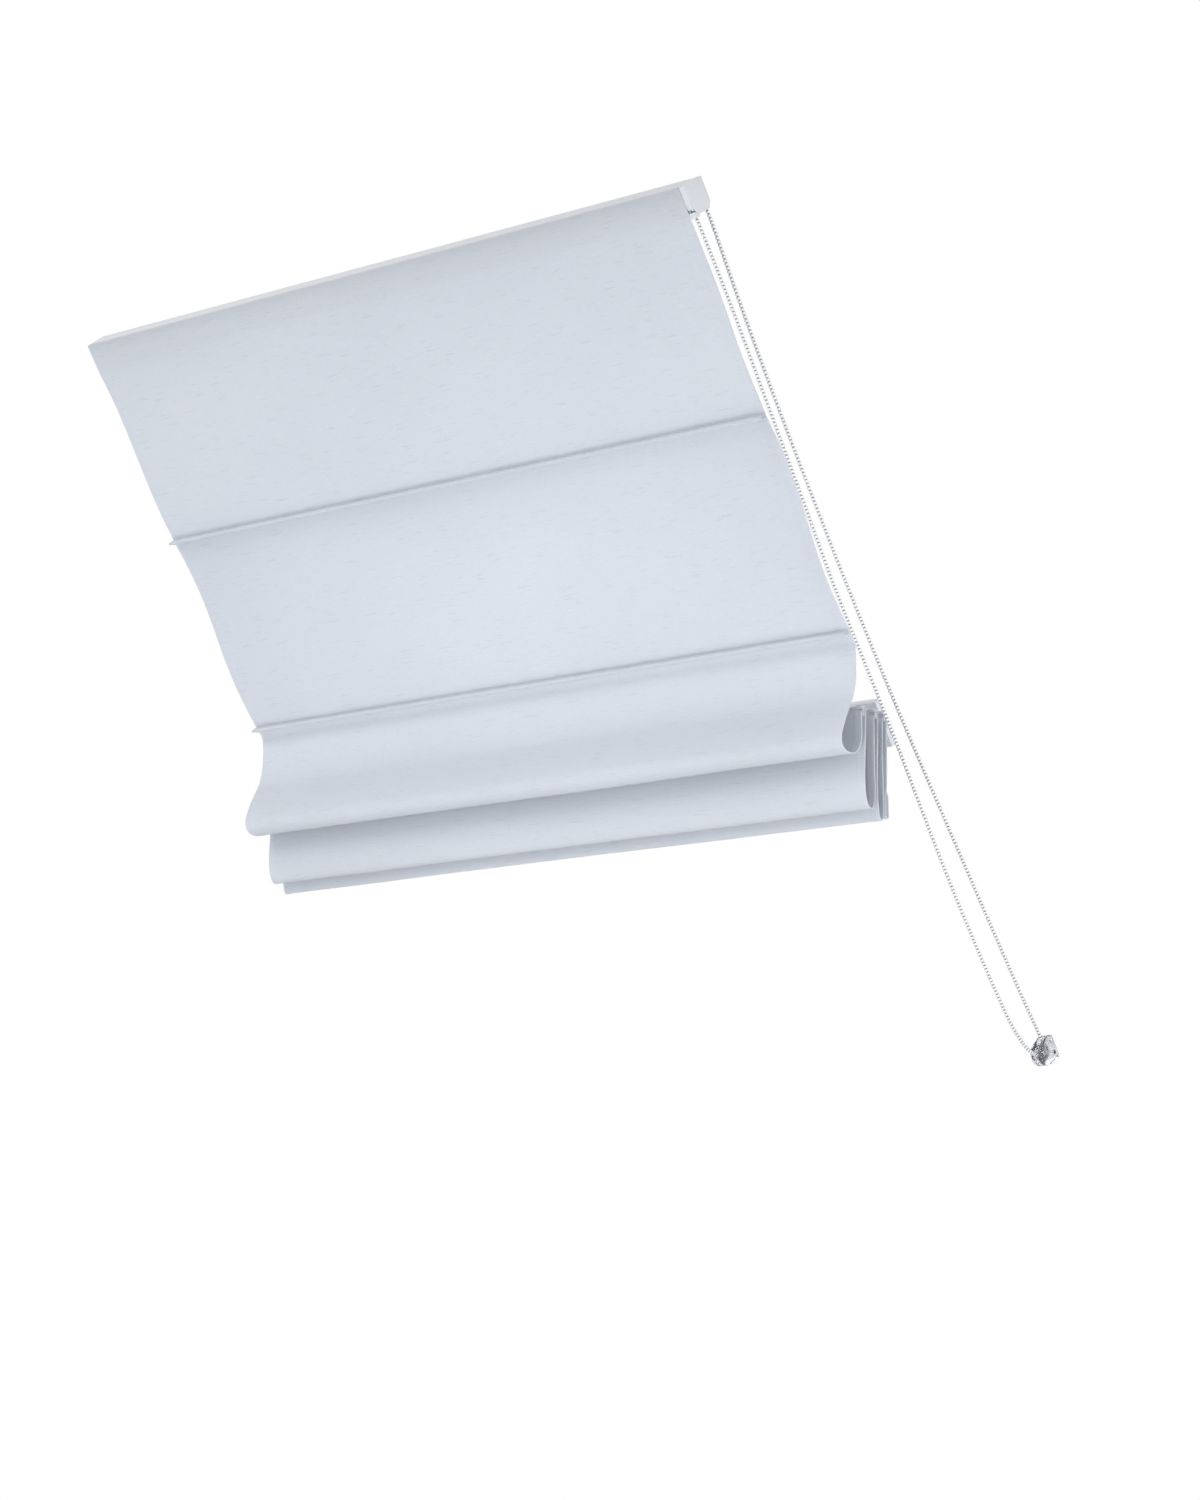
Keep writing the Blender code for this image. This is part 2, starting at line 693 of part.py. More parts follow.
def rail_outline():
    """The headrail's C section, open to the ceiling, with a lip on each side."""
    top, wall = RAIL_MIDDLE, RAIL_WALL
    front, back, lip = RAIL_FRONT, RAIL_BACK, RAIL_MIDDLE - RAIL_LIP
    half = [(back, lip), (back, top), (front, top)]
    inner = [(front + wall, top - wall), (back - wall, top - wall), (back - wall, lip)]
    lower = [(y, -z) for y, z in half[::-1]]
    lower_inner = [(y, -z) for y, z in inner[::-1]]
    return half + lower + lower_inner + inner


def headrail():
    left = -HALF_WIDTH + END_CAP_THICKNESS + FIT_GAP
    right = HALF_WIDTH
    rail = solid(section("headrail", rail_outline(), right - left, (left + right) / 2))
    for side, x in cord_positions():
        front = CORD_LEAVE_Y - 2 * CORD_RADIUS
        low = (x - SLOT_LENGTH / 2, front, -RAIL_MIDDLE - RAIL_WALL)
        high = (x + SLOT_LENGTH / 2, front + SLOT_WIDTH, -RAIL_MIDDLE + 2 * RAIL_WALL)
        cut(rail, box(f"cord_slot_{side}", low, high))
    white_metal(rail)


def inside_rail(margin):
    """The y and z limits inside the rail, less a margin."""
    low_y = RAIL_FRONT + RAIL_WALL + margin
    high_y = RAIL_BACK - RAIL_WALL - margin
    high_z = RAIL_MIDDLE - RAIL_WALL - margin
    return low_y, high_y, -high_z, high_z


def plug(name, x_low, x_high):
    """A square tube that fits inside the rail's end."""
    low_y, high_y, low_z, high_z = inside_rail(FIT_GAP)
    body = box(name, (x_low, low_y, low_z), (x_high, high_y, high_z))
    low_y, high_y, low_z, high_z = inside_rail(FIT_GAP + PLUG_WALL)
    room = (high_y - low_y, high_z - low_z)
    hollow = box(
        f"{name}_hollow",
        (x_low - 0.01, low_y, low_z),
        (x_high + 0.01, low_y + room[0], low_z + room[1]),
    )
    return cut(body, hollow)


def left_cap():
    outer = -HALF_WIDTH
    inner = outer + END_CAP_THICKNESS
    outline = rounded(-STANDOFF + FABRIC_THICKNESS, -FIT_GAP, -RAIL_MIDDLE, RAIL_MIDDLE, (0.002,) * 4)
    cap = solid(section("end_cap_left", outline, END_CAP_THICKNESS, (outer + inner) / 2))
    join(cap, plug("end_cap_plug", inner - 0.0005, inner + FIT_GAP + PLUG_DEPTH))
    bearing_radius = SHAFT_SIDE / math.sqrt(2) + FIT_GAP
    centre = (inner + BEARING_LENGTH / 2 - 0.0005, SHAFT_Y, 0)
    join(cap, cylinder("end_cap_boss", centre, bearing_radius + PLUG_WALL, BEARING_LENGTH + 0.001))
    bore = (inner + BEARING_LENGTH, SHAFT_Y, 0)
    cut(cap, cylinder("end_cap_bore", bore, bearing_radius, 2 * BEARING_LENGTH - 0.001))
    white_plastic(cap)


def housing_outline(margin):
    """The drive housing seen from the side: square at the top, cut off at both lower corners."""
    front, back = -STANDOFF + margin, -FIT_GAP - margin
    low, high = -RAIL_MIDDLE + margin, RAIL_MIDDLE - margin
    cut_off = HOUSING_CORNER - margin / 2
    round_off = HOUSING_NOSE_ROUND - margin / 2
    points = [(front, high), (front, low + 1.8 * round_off)]
    points += [(front + 0.25 * round_off, low + round_off), (front + 0.6 * round_off, low + 0.4 * round_off)]
    points += [(front + 1.2 * round_off, low), (back - cut_off, low - 0.001)]
    return points + [(back, low + cut_off), (back, high)]


def drive_housing():
    body = solid(section("drive_housing", housing_outline(0), HOUSING_DEPTH, HOUSING_X + HOUSING_DEPTH / 2))
    floor = HOUSING_X + HOUSING_WALL
    cavity = section("housing_cavity", housing_outline(HOUSING_WALL), HOUSING_DEPTH, floor + HOUSING_DEPTH / 2)
    cut(body, solid(cavity))
    join(body, plug("housing_plug", HOUSING_X - FIT_GAP - PLUG_DEPTH, HOUSING_X + 0.0005))
    hub_hole = SLEEVE_RADIUS + 2 * FIT_GAP
    cut(body, cylinder("housing_hub_hole", (HOUSING_X, SHAFT_Y, 0), hub_hole, 4 * HOUSING_WALL))
    nose_y = SHAFT_Y - SPROCKET_PITCH_RADIUS
    nose_low = (HOUSING_X, nose_y - CHAIN_NOSE / 2, -RAIL_MIDDLE - CHAIN_NOSE / 3)
    nose_high = (HOUSING_X + HOUSING_DEPTH, nose_y + CHAIN_NOSE / 2, -RAIL_MIDDLE + CHAIN_NOSE / 2)
    join(body, box("chain_nose", nose_low, nose_high))
    for name, side in (("front", -1), ("back", 1)):
        y = SHAFT_Y + side * SPROCKET_PITCH_RADIUS
        half = CHAIN_RADIUS + 3 * FIT_GAP
        low = (CHAIN_X - half, y - half, -RAIL_MIDDLE - CHAIN_NOSE)
        high = (CHAIN_X + half, y + half, -RAIL_MIDDLE + 2 * HOUSING_NOSE_ROUND)
        cut(body, box(f"chain_slot_{name}", low, high))
    white_plastic(body)


def drive_cover():
    cover = solid(section("drive_cover", housing_outline(0), COVER_THICKNESS, COVER_X + COVER_THICKNESS / 2))
    centre = (COVER_X - POST_LENGTH / 2 + 0.0005, SHAFT_Y, 0)
    join(cover, cylinder("clutch_post", centre, POST_RADIUS, POST_LENGTH + 0.001))
    white_plastic(cover)


def groove(pitch_radius, rim_radius, steps=6):
    """Points of a round groove for the chain, as (radius, along), from top to bottom."""
    reach = math.acos((rim_radius - pitch_radius) / GROOVE_RADIUS)
    points = []
    for i in range(steps + 1):
        angle = reach + (2 * math.pi - 2 * reach) * i / steps
        points.append((pitch_radius + GROOVE_RADIUS * math.cos(angle), GROOVE_RADIUS * math.sin(angle)))
    return points


def chain_sprocket():
    half = SPROCKET_WIDTH / 2
    rim = SPROCKET_PITCH_RADIUS + 0.0004
    bore = POST_RADIUS + FIT_GAP
    inner = CHAIN_X - (HOUSING_X + HOUSING_WALL + FIT_GAP) + SLEEVE_LENGTH
    profile = [(bore, half), (rim, half)]
    profile += groove(SPROCKET_PITCH_RADIUS, rim)
    profile += [
        (rim, -half),
        (SLEEVE_RADIUS, -half),
        (SLEEVE_RADIUS, -inner),
        (SLEEVE_BORE, -inner),
        (SLEEVE_BORE, half / 3),
        (bore, half / 3),
    ]
    white_plastic(turned("chain_sprocket", profile, (CHAIN_X, SHAFT_Y, 0)))


def sleeve_end():
    """X of the sprocket sleeve's inner end."""
    return HOUSING_X + HOUSING_WALL + FIT_GAP - SLEEVE_LENGTH


def clutch_spring():
    """A wrap spring wound on the fixed post, inside the sprocket's sleeve."""
    start = sleeve_end() + SPRING_WIRE_RADIUS + FIT_GAP
    steps = 10
    points = []
    for i in range(SPRING_TURNS * steps + 1):
        angle = 2 * math.pi * i / steps
        x = start + SPRING_PITCH * i / steps
        points.append((x, SHAFT_Y + SPRING_RADIUS * math.cos(angle), SPRING_RADIUS * math.sin(angle)))
    steel(tube("clutch_spring", points, SPRING_WIRE_RADIUS, detail=1))


def clutch_hub():
    """The output hub: a round bore on the post's end and a square socket for the shaft."""
    right = sleeve_end() - FIT_GAP
    left = right - HUB_LENGTH
    post_end = COVER_X - POST_LENGTH
    hub = cylinder("clutch_hub", ((left + right) / 2, SHAFT_Y, 0), SLEEVE_RADIUS, HUB_LENGTH, sides=32)
    bore = post_end - FIT_GAP
    centre = (bore + (right - bore) / 2 + 0.001, SHAFT_Y, 0)
    cut(hub, cylinder("hub_bore", centre, POST_RADIUS + FIT_GAP, right - bore + 0.002))
    half = SHAFT_SIDE / 2 + FIT_GAP
    low = (left - 0.001, SHAFT_Y - half, -half)
    cut(hub, box("hub_socket", low, (shaft_end() + FIT_GAP, SHAFT_Y + half, half)))
    white_plastic(hub)


def shaft_end():
    """X of the drive shaft's right end, in the hub's socket."""
    return COVER_X - POST_LENGTH - FIT_GAP - PLUG_WALL - FIT_GAP


def drive_shaft():
    left = -HALF_WIDTH + END_CAP_THICKNESS + PLUG_WALL
    half = SHAFT_SIDE / 2
    low = (left, SHAFT_Y - half, -half)
    white_metal(box("drive_shaft", low, (shaft_end(), SHAFT_Y + half, half)))


def spools_and_cradles():
    half = SPOOL_WIDTH / 2
    for side, x in cord_positions():
        end = half + SPOOL_FLANGE + JOURNAL_LENGTH
        profile = [
            (0, end),
            (JOURNAL_RADIUS, end),
            (JOURNAL_RADIUS, half + SPOOL_FLANGE),
            (SPOOL_FLANGE_RADIUS, half + SPOOL_FLANGE),
            (SPOOL_FLANGE_RADIUS, half),
            (SPOOL_RADIUS, half),
        ]
        profile += [(r, -a) for r, a in profile[::-1]]
        spool = turned(f"cord_spool_{side}", profile, (x, SHAFT_Y, 0), sides=24, ring=False)
        square = SHAFT_SIDE / 2 + FIT_GAP
        low = (x - end - 0.001, SHAFT_Y - square, -square)
        cut(spool, box(f"spool_bore_{side}", low, (x + end + 0.001, SHAFT_Y + square, square)))
        white_plastic(spool)
        cradle(side, x, half + SPOOL_FLANGE + FIT_GAP)


def cradle(side, x, inner):
    """A base on the rail's front wall with two open saddles for the spool's journals."""
    low_y, high_y, low_z, high_z = inside_rail(FIT_GAP)
    outer = inner + CRADLE_UPRIGHT
    base = box(f"spool_cradle_{side}", (x - outer, low_y, low_z), (x + outer, low_y + CRADLE_WALL, high_z))
    for name, sign in (("a", -1), ("b", 1)):
        near, far = sorted((x + sign * inner, x + sign * outer))
        low = (near, low_y + CRADLE_WALL / 2, -SPOOL_FLANGE_RADIUS)
        high = (far, SHAFT_Y + JOURNAL_RADIUS / 2, SPOOL_FLANGE_RADIUS)
        join(base, box(f"saddle_{name}_{side}", low, high))
    bore = JOURNAL_RADIUS + FIT_GAP
    cut(base, cylinder(f"saddle_bore_{side}", (x, SHAFT_Y, 0), bore, 2 * outer + 0.002))
    low = (x - outer - 0.001, SHAFT_Y, -bore)
    cut(base, box(f"saddle_mouth_{side}", low, (x + outer + 0.001, high_y, bore)))
    white_plastic(base)


def ceiling_brackets():
    """A plate on the ceiling with two hooks behind the rail's lips."""
    back, grip = -BRACKET_THICKNESS, RAIL_BACK - RAIL_WALL - FIT_GAP
    lip = RAIL_MIDDLE - RAIL_LIP - FIT_GAP
    edge = RAIL_MIDDLE - RAIL_WALL - FIT_GAP
    half = [
        (0, edge),
        (back, edge),
        (back, lip),
        (grip, lip),
        (grip, edge),
        (grip - BRACKET_THICKNESS, edge),
        (grip - BRACKET_THICKNESS, lip - BRACKET_HOOK),
        (back, lip - BRACKET_HOOK),
    ]
    outline = half + [(y, -z) for y, z in half[::-1]]
    for i, side in enumerate(CORD_SIDES):
        x = (i - 1) * BRACKET_SPACING
        plate = solid(section(f"ceiling_bracket_{side}", outline, BRACKET_WIDTH, x))
        for name, sign in (("a", -1), ("b", 1)):
            centre = (x + sign * BRACKET_HOLE_SPREAD, 0, 0)
            hole = cylinder(f"bracket_hole_{name}_{side}", centre, BRACKET_HOLE_RADIUS, 0.01, "y", 16)
            cut(plate, hole)
        white_metal(plate)


def hook_strip():
    low_y = CLOTH_BACK + FIT_GAP
    high_z = RAIL_MIDDLE - 0.001
    half = HALF_WIDTH - STRIP_INSET
    strip = box(
        "hook_and_loop_strip",
        (-half, low_y, high_z - STRIP_HEIGHT),
        (half, low_y + STRIP_THICKNESS, high_z),
    )
    white_cord(strip)


def guide_bar():
    """A C section across the window opening, open to the window."""
    top, wall = GUIDE_BAR_HEIGHT / 2, GUIDE_BAR_WALL
    front, back = FIT_GAP, GUIDE_BAR_DEPTH
    half = [(back, top), (front, top)]
    inner = [(front + wall, top - wall), (back, top - wall)]
    lower = [(y, -z) for y, z in half[::-1]]
    lower_inner = [(y, -z) for y, z in inner[::-1]]
    outline = [(y, z + GUIDE_MIDDLE) for y, z in half + lower + lower_inner + inner]
    length = GUIDE_BAR_SPAN - 2 * (GUIDE_END_PLATE + FIT_GAP)
    white_metal(section("guide_bar", outline, length))


def guide_bar_ends():
    """End plates that screw to the sides of the opening, each with a plug in the bar."""
    top = GUIDE_BAR_HEIGHT / 2
    for side, sign in (("left", -1), ("right", 1)):
        outer = GUIDE_BAR_SPAN / 2
        inner = outer - GUIDE_END_PLATE
        outline = rounded(
            FIT_GAP, GUIDE_BAR_DEPTH, GUIDE_MIDDLE - top, GUIDE_MIDDLE + top, (0.001, 0.001, 0.001, 0.001), 2
        )
        name = f"guide_bar_end_{side}"
        plate = solid(section(name, outline, GUIDE_END_PLATE, sign * (inner + outer) / 2))
        near, far = sorted((sign * (inner - GUIDE_END_PLUG), sign * (inner + 0.0005)))
        margin = GUIDE_BAR_WALL + FIT_GAP
        low = (near, FIT_GAP + margin, GUIDE_MIDDLE - top + margin)
        high = (far, GUIDE_BAR_DEPTH - FIT_GAP, GUIDE_MIDDLE + top - margin)
        join(plate, box(f"{name}_plug", low, high))
        for place_name, shift in (("upper", 1), ("lower", -1)):
            centre = (sign * inner, (margin + GUIDE_BAR_DEPTH) / 2, GUIDE_MIDDLE + shift * top / 2)
            hole = cylinder(f"{name}_{place_name}_hole", centre, GUIDE_END_HOLE, 0.05, "x", 16)
            cut(plate, hole)
        white_plastic(plate)


def eyelets():
    """A hoop for each lift cord at the guide bar's upper edge."""
    width = EYELET_RADIUS
    for side, x in cord_positions():
        centre = (x, EYELET_Y, EYELET_Z)
        hoop = cylinder(f"cord_eyelet_{side}", centre, EYELET_RADIUS, EYELET_THICKNESS, "z", 20)
        half = EYELET_THICKNESS / 2
        arm_low = (x - width, EYELET_Y, EYELET_Z - half)
        join(hoop, box(f"eyelet_arm_{side}", arm_low, (x + width, 0, EYELET_Z + half)))
        foot_low = (x - width - 0.001, -EYELET_FOOT, EYELET_Z + half - EYELET_FOOT_HEIGHT)
        foot_high = (x + width + 0.001, 0, EYELET_Z + half + 0.0001)
        join(hoop, box(f"eyelet_foot_{side}", foot_low, foot_high))
        bore = cylinder(f"eyelet_bore_{side}", centre, EYELET_BORE, 3 * EYELET_THICKNESS, "z", 16)
        white_plastic(cut(hoop, bore))


def lift_cords():
    """Each cord runs from its spool behind the fabric, through rings 1 and 2, to its eyelet."""
    ring_1 = RAIL_MIDDLE - TUCK_1_DROP + NECK_HALF + TAPE_HEIGHT / 2
    ring_2 = RAIL_MIDDLE - TUCK_2_DROP + NECK_HALF + TAPE_HEIGHT / 2
    exit_z = EYELET_Z - EYELET_THICKNESS / 2 - FIT_GAP
    route = [
        (CORD_LEAVE_Y, 0.001),
        (CORD_LEAVE_Y, -SPOOL_FLANGE_RADIUS),
        (CORD_Y, ring_1),
        (CORD_Y, ring_2),
        (EYELET_Y, EYELET_Z + EYELET_THICKNESS),
        (EYELET_Y, exit_z),
    ]
    for side, x in cord_positions():
        points = [(x, y, z) for y, z in route]
        white_cord(tube(f"lift_cord_{side}", points, CORD_RADIUS))
        cord_tail(side, x, exit_z)


def cord_tail(side, x, exit_z):
    """The cord's end: over to ring 3, round, and back through the rings to its knot at ring 5."""
    below = exit_z - FIT_GAP
    under = [
        (EYELET_Y, below),
        (EYELET_Y, below - CORD_RADIUS),
        (EYELET_Y - 2 * CORD_RADIUS, below - 2 * CORD_RADIUS),
        (EYELET_Y - EYELET_RADIUS, below - 2 * CORD_RADIUS),
    ]
    hole = RING_RADIUS - RING_WIRE - CORD_RADIUS - FIT_GAP
    level = -STACK_TOP + HALF_CLOTH + FIT_GAP + TAPE_THICKNESS + RING_RADIUS + RING_WIRE - RING_SINK
    first, last = tuck_middle(LOOP_1_BACK), tuck_middle(LOOP_3_BACK)
    line = [fold_point(y, z) for y, z in under]
    line += smooth(
        [
            fold_point(EYELET_Y - EYELET_RADIUS - 2 * CORD_RADIUS, below - CORD_RADIUS),
            (last + 0.0065, level + hole - 0.001),
            (last, level + hole),
            (first, level + hole),
        ],
        3,
    )
    turn = first - RING_WIRE - hole
    line += arc((turn, level), hole, 90, 270, 8)
    line += [(first, level - hole), (last, level - hole), (last + 0.003, level - hole)]
    tail = tube(f"lift_cord_tail_{side}", [(x, y, z) for y, z in line], CORD_RADIUS, FOLD)
    white_cord(tail)


def chain_x(drop):
    """X of the chain at a distance down the slope: it leans out to the tensioner."""
    share = (drop - RAIL_HEIGHT) / (TENSIONER_DROP - RAIL_HEIGHT)
    return CHAIN_X + (TENSIONER_X - CHAIN_X) * min(max(share, 0), 1)


def bead_chain():
    """The endless chain: round the sprocket, down the back, round the wheel, up the front."""
    middle = SHAFT_Y + STANDOFF
    wheel = TENSIONER_Y + STANDOFF
    top, low = SPROCKET_PITCH_RADIUS, TENSIONER_PITCH_RADIUS
    back = [
        (RAIL_MIDDLE, middle + top),
        (0.060, middle + top - 0.0012),
        (0.160, 0.0200),
        (0.280, 0.0124),
        (0.420, 0.0070),
        (0.550, 0.0042),
        (0.680, 0.0046),
        (0.820, 0.0076),
        (0.960, 0.0120),
        (1.080, 0.0162),
        (1.130, 0.0190),
        (TENSIONER_DROP, wheel + low),
    ]
    front = [
        (1.163, -0.0056),
        (1.150, -0.0140),
        (1.128, -0.0215),
        (1.095, -0.0270),
        (1.020, -0.0305),
        (0.920, -0.0315),
        (0.820, -0.0285),
        (0.700, -0.0230),
        (0.600, -0.0215),
        (0.500, -0.0195),
        (0.390, -0.0120),
        (0.280, -0.0055),
        (0.170, 0.0010),
        (0.080, 0.0040),
        (RAIL_MIDDLE, middle - top),
    ]
    route = smooth(back, 3)
    route += arc((TENSIONER_DROP, wheel), low, 90, -57, 8)[1:]
    route += smooth(front, 2)
    route += arc((RAIL_MIDDLE, middle), top, 270, 90, 8)[1:-1]
    points = [(chain_x(s), n - STANDOFF, RAIL_MIDDLE - s) for s, n in route]
    white_plastic(tube("bead_chain", points, CHAIN_RADIUS, closed=True))


def tensioner_nose():
    """Radius of the tensioner's round nose."""
    return TENSIONER_PITCH_RADIUS + TENSIONER_CHAIN_ROOM + TENSIONER_WALL


def tensioner_outline():
    """The tensioner's side, as (y, z): a foot on the ceiling and a round nose about the wheel."""
    nose = tensioner_nose()
    y, z = TENSIONER_Y, TENSIONER_Z
    foot = [(0, z + TENSIONER_FOOT_TOP), (0, z - TENSIONER_FOOT_BOTTOM)]
    corner = [(y + 0.24 * nose, z - TENSIONER_FOOT_BOTTOM)]
    nose_arc = arc((y, z), nose, -100, -200, 12)
    mouth = [(y - 0.61 * nose, z + 0.66 * nose), (y - 0.30 * nose, z + 0.76 * nose)]
    return foot + corner + nose_arc + mouth + [(y + 0.83 * nose, z + 0.83 * nose)]


def tensioner_room():
    """The room inside the tensioner, open towards the chain."""
    nose = tensioner_nose()
    y, z = TENSIONER_Y, TENSIONER_Z
    wall = TENSIONER_WALL
    below = z - TENSIONER_FOOT_BOTTOM + wall
    back = y + 0.83 * nose - wall
    points = [(-wall, z + TENSIONER_FOOT_TOP - wall), (-wall, below), (y + 0.22 * nose, below)]
    points += arc((y, z), nose - wall, -100, -180, 10)
    points += [(y - 2 * nose, z), (y - 2 * nose, z + 2 * nose), (back, z + 2 * nose)]
    return points + [(back, z + 0.83 * nose - wall)]


def tensioner():
    left = TENSIONER_X - TENSIONER_WIDTH / 2
    right = TENSIONER_X + TENSIONER_WIDTH / 2
    lid = right - TENSIONER_WALL
    depth = lid - FIT_GAP - left
    body = solid(section("tensioner_body", tensioner_outline(), depth, left + depth / 2))
    room = section("tensioner_room", tensioner_room(), depth, left + TENSIONER_WALL + depth / 2)
    cut(body, solid(room))
    screw_y = TENSIONER_Y + TENSIONER_SCREW_BACK
    screw_z = TENSIONER_Z - TENSIONER_SCREW_DROP
    boss_at = (left + depth / 2 + TENSIONER_WALL / 4, screw_y, screw_z)
    boss_radius = TENSIONER_HOLE_RADIUS + TENSIONER_BOSS_WALL
    join(body, cylinder("tensioner_boss", boss_at, boss_radius, depth - TENSIONER_WALL / 2))
    cover = solid(section("tensioner_cover", tensioner_outline(), TENSIONER_WALL, (lid + right) / 2))
    hole_length = 2 * (TENSIONER_WIDTH - TENSIONER_WALL)
    for name, piece in (("body", body), ("cover", cover)):
        hole_at = (right, screw_y, screw_z)
        cut(piece, cylinder(f"{name}_screw_hole", hole_at, TENSIONER_HOLE_RADIUS, hole_length, "x", 20))
        axle_at = (TENSIONER_X, TENSIONER_Y, TENSIONER_Z)
        axle_hole = TENSIONER_AXLE_RADIUS + FIT_GAP
        cut(piece, cylinder(f"{name}_axle_hole", axle_at, axle_hole, 2 * TENSIONER_WIDTH, "x", 20))
        clear_plastic(piece)
    tensioner_screw(right, screw_y, screw_z)
    foot_at = (TENSIONER_X, 0, TENSIONER_Z)
    cut(body, cylinder("foot_screw_hole", foot_at, TENSIONER_HOLE_RADIUS, 4 * TENSIONER_WALL, "y", 20))
    tensioner_wheel()
    tensioner_axle(left, right)


def tensioner_screw(outer, y, z):
    """The screw that holds the cover, with a slot across its flat head."""
    start = outer + FIT_GAP
    head = TENSIONER_SCREW_HEAD_HEIGHT
    end = -(TENSIONER_WIDTH - 2 * TENSIONER_WALL - 2 * FIT_GAP)
    profile = [
        (0, head),
        (TENSIONER_SCREW_HEAD - head / 3, head),
        (TENSIONER_SCREW_HEAD, head / 2),
        (TENSIONER_SCREW_HEAD, 0),
        (TENSIONER_SCREW_RADIUS, 0),
        (TENSIONER_SCREW_RADIUS, end),
        (0, end),
    ]
    screw = turned("tensioner_screw", profile, (start, y, z), sides=24, ring=False)
    slot = TENSIONER_SCREW_HEAD / 8
    low = (start + head / 2, y - 2 * TENSIONER_SCREW_HEAD, z - slot)
    cut(screw, box("screw_slot", low, (start + 2 * head, y + 2 * TENSIONER_SCREW_HEAD, z + slot)))
    steel(screw)


def tensioner_wheel():
    half = TENSIONER_WHEEL_WIDTH / 2
    rim = TENSIONER_PITCH_RADIUS + 0.0004
    bore = TENSIONER_AXLE_RADIUS + FIT_GAP
    profile = [(bore, half), (rim, half)]
    profile += groove(TENSIONER_PITCH_RADIUS, rim)
    profile += [(rim, -half), (bore, -half)]
    wheel = turned("tensioner_wheel", profile, (TENSIONER_X, TENSIONER_Y, TENSIONER_Z))
    clear_plastic(wheel)


def tensioner_axle(left, right):
    half = (right - left) / 2 + FIT_GAP
    head = half + 0.0008
    profile = [
        (0, head),
        (TENSIONER_AXLE_HEAD, head),
        (TENSIONER_AXLE_HEAD, half),
        (TENSIONER_AXLE_RADIUS, half),
    ]
    profile += [(r, -a) for r, a in profile[::-1]]
    axle = turned("tensioner_axle", profile, (TENSIONER_X, TENSIONER_Y, TENSIONER_Z), sides=16, ring=False)
    steel(axle)


headrail()
left_cap()
drive_housing()
drive_cover()
chain_sprocket()
clutch_spring()
clutch_hub()
drive_shaft()
spools_and_cradles()
ceiling_brackets()
hook_strip()
upper_fabric()
loop_1()
gathered_panel("fabric_panel_4", LOOP_1_BACK, LOOP_2_FRONT, LOOP_2_BACK, LOOP_2_BOTTOM, 0.0035)
gathered_panel("fabric_panel_5", LOOP_2_BACK, LOOP_3_FRONT, LOOP_3_BACK, LOOP_3_BOTTOM, 0.0020)
bottom_flap()
weight_bar()
battens()
ring_tapes()
guide_bar()
guide_bar_ends()
eyelets()
lift_cords()
bead_chain()
tensioner()
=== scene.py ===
"""Looks of the skylight window blind: slub linen, lacquered metal, moulded plastic and a bead chain.

Everything is in metres, in the frame of the CAD part: +X along the blind's width and +Z up.
The cloth is one line seen from the side, cut into pieces that ride on a CAD body or bend between two.
"""
import bisect
import json
from math import acos, atan2, cos, degrees, dist, hypot, pi, radians, sin

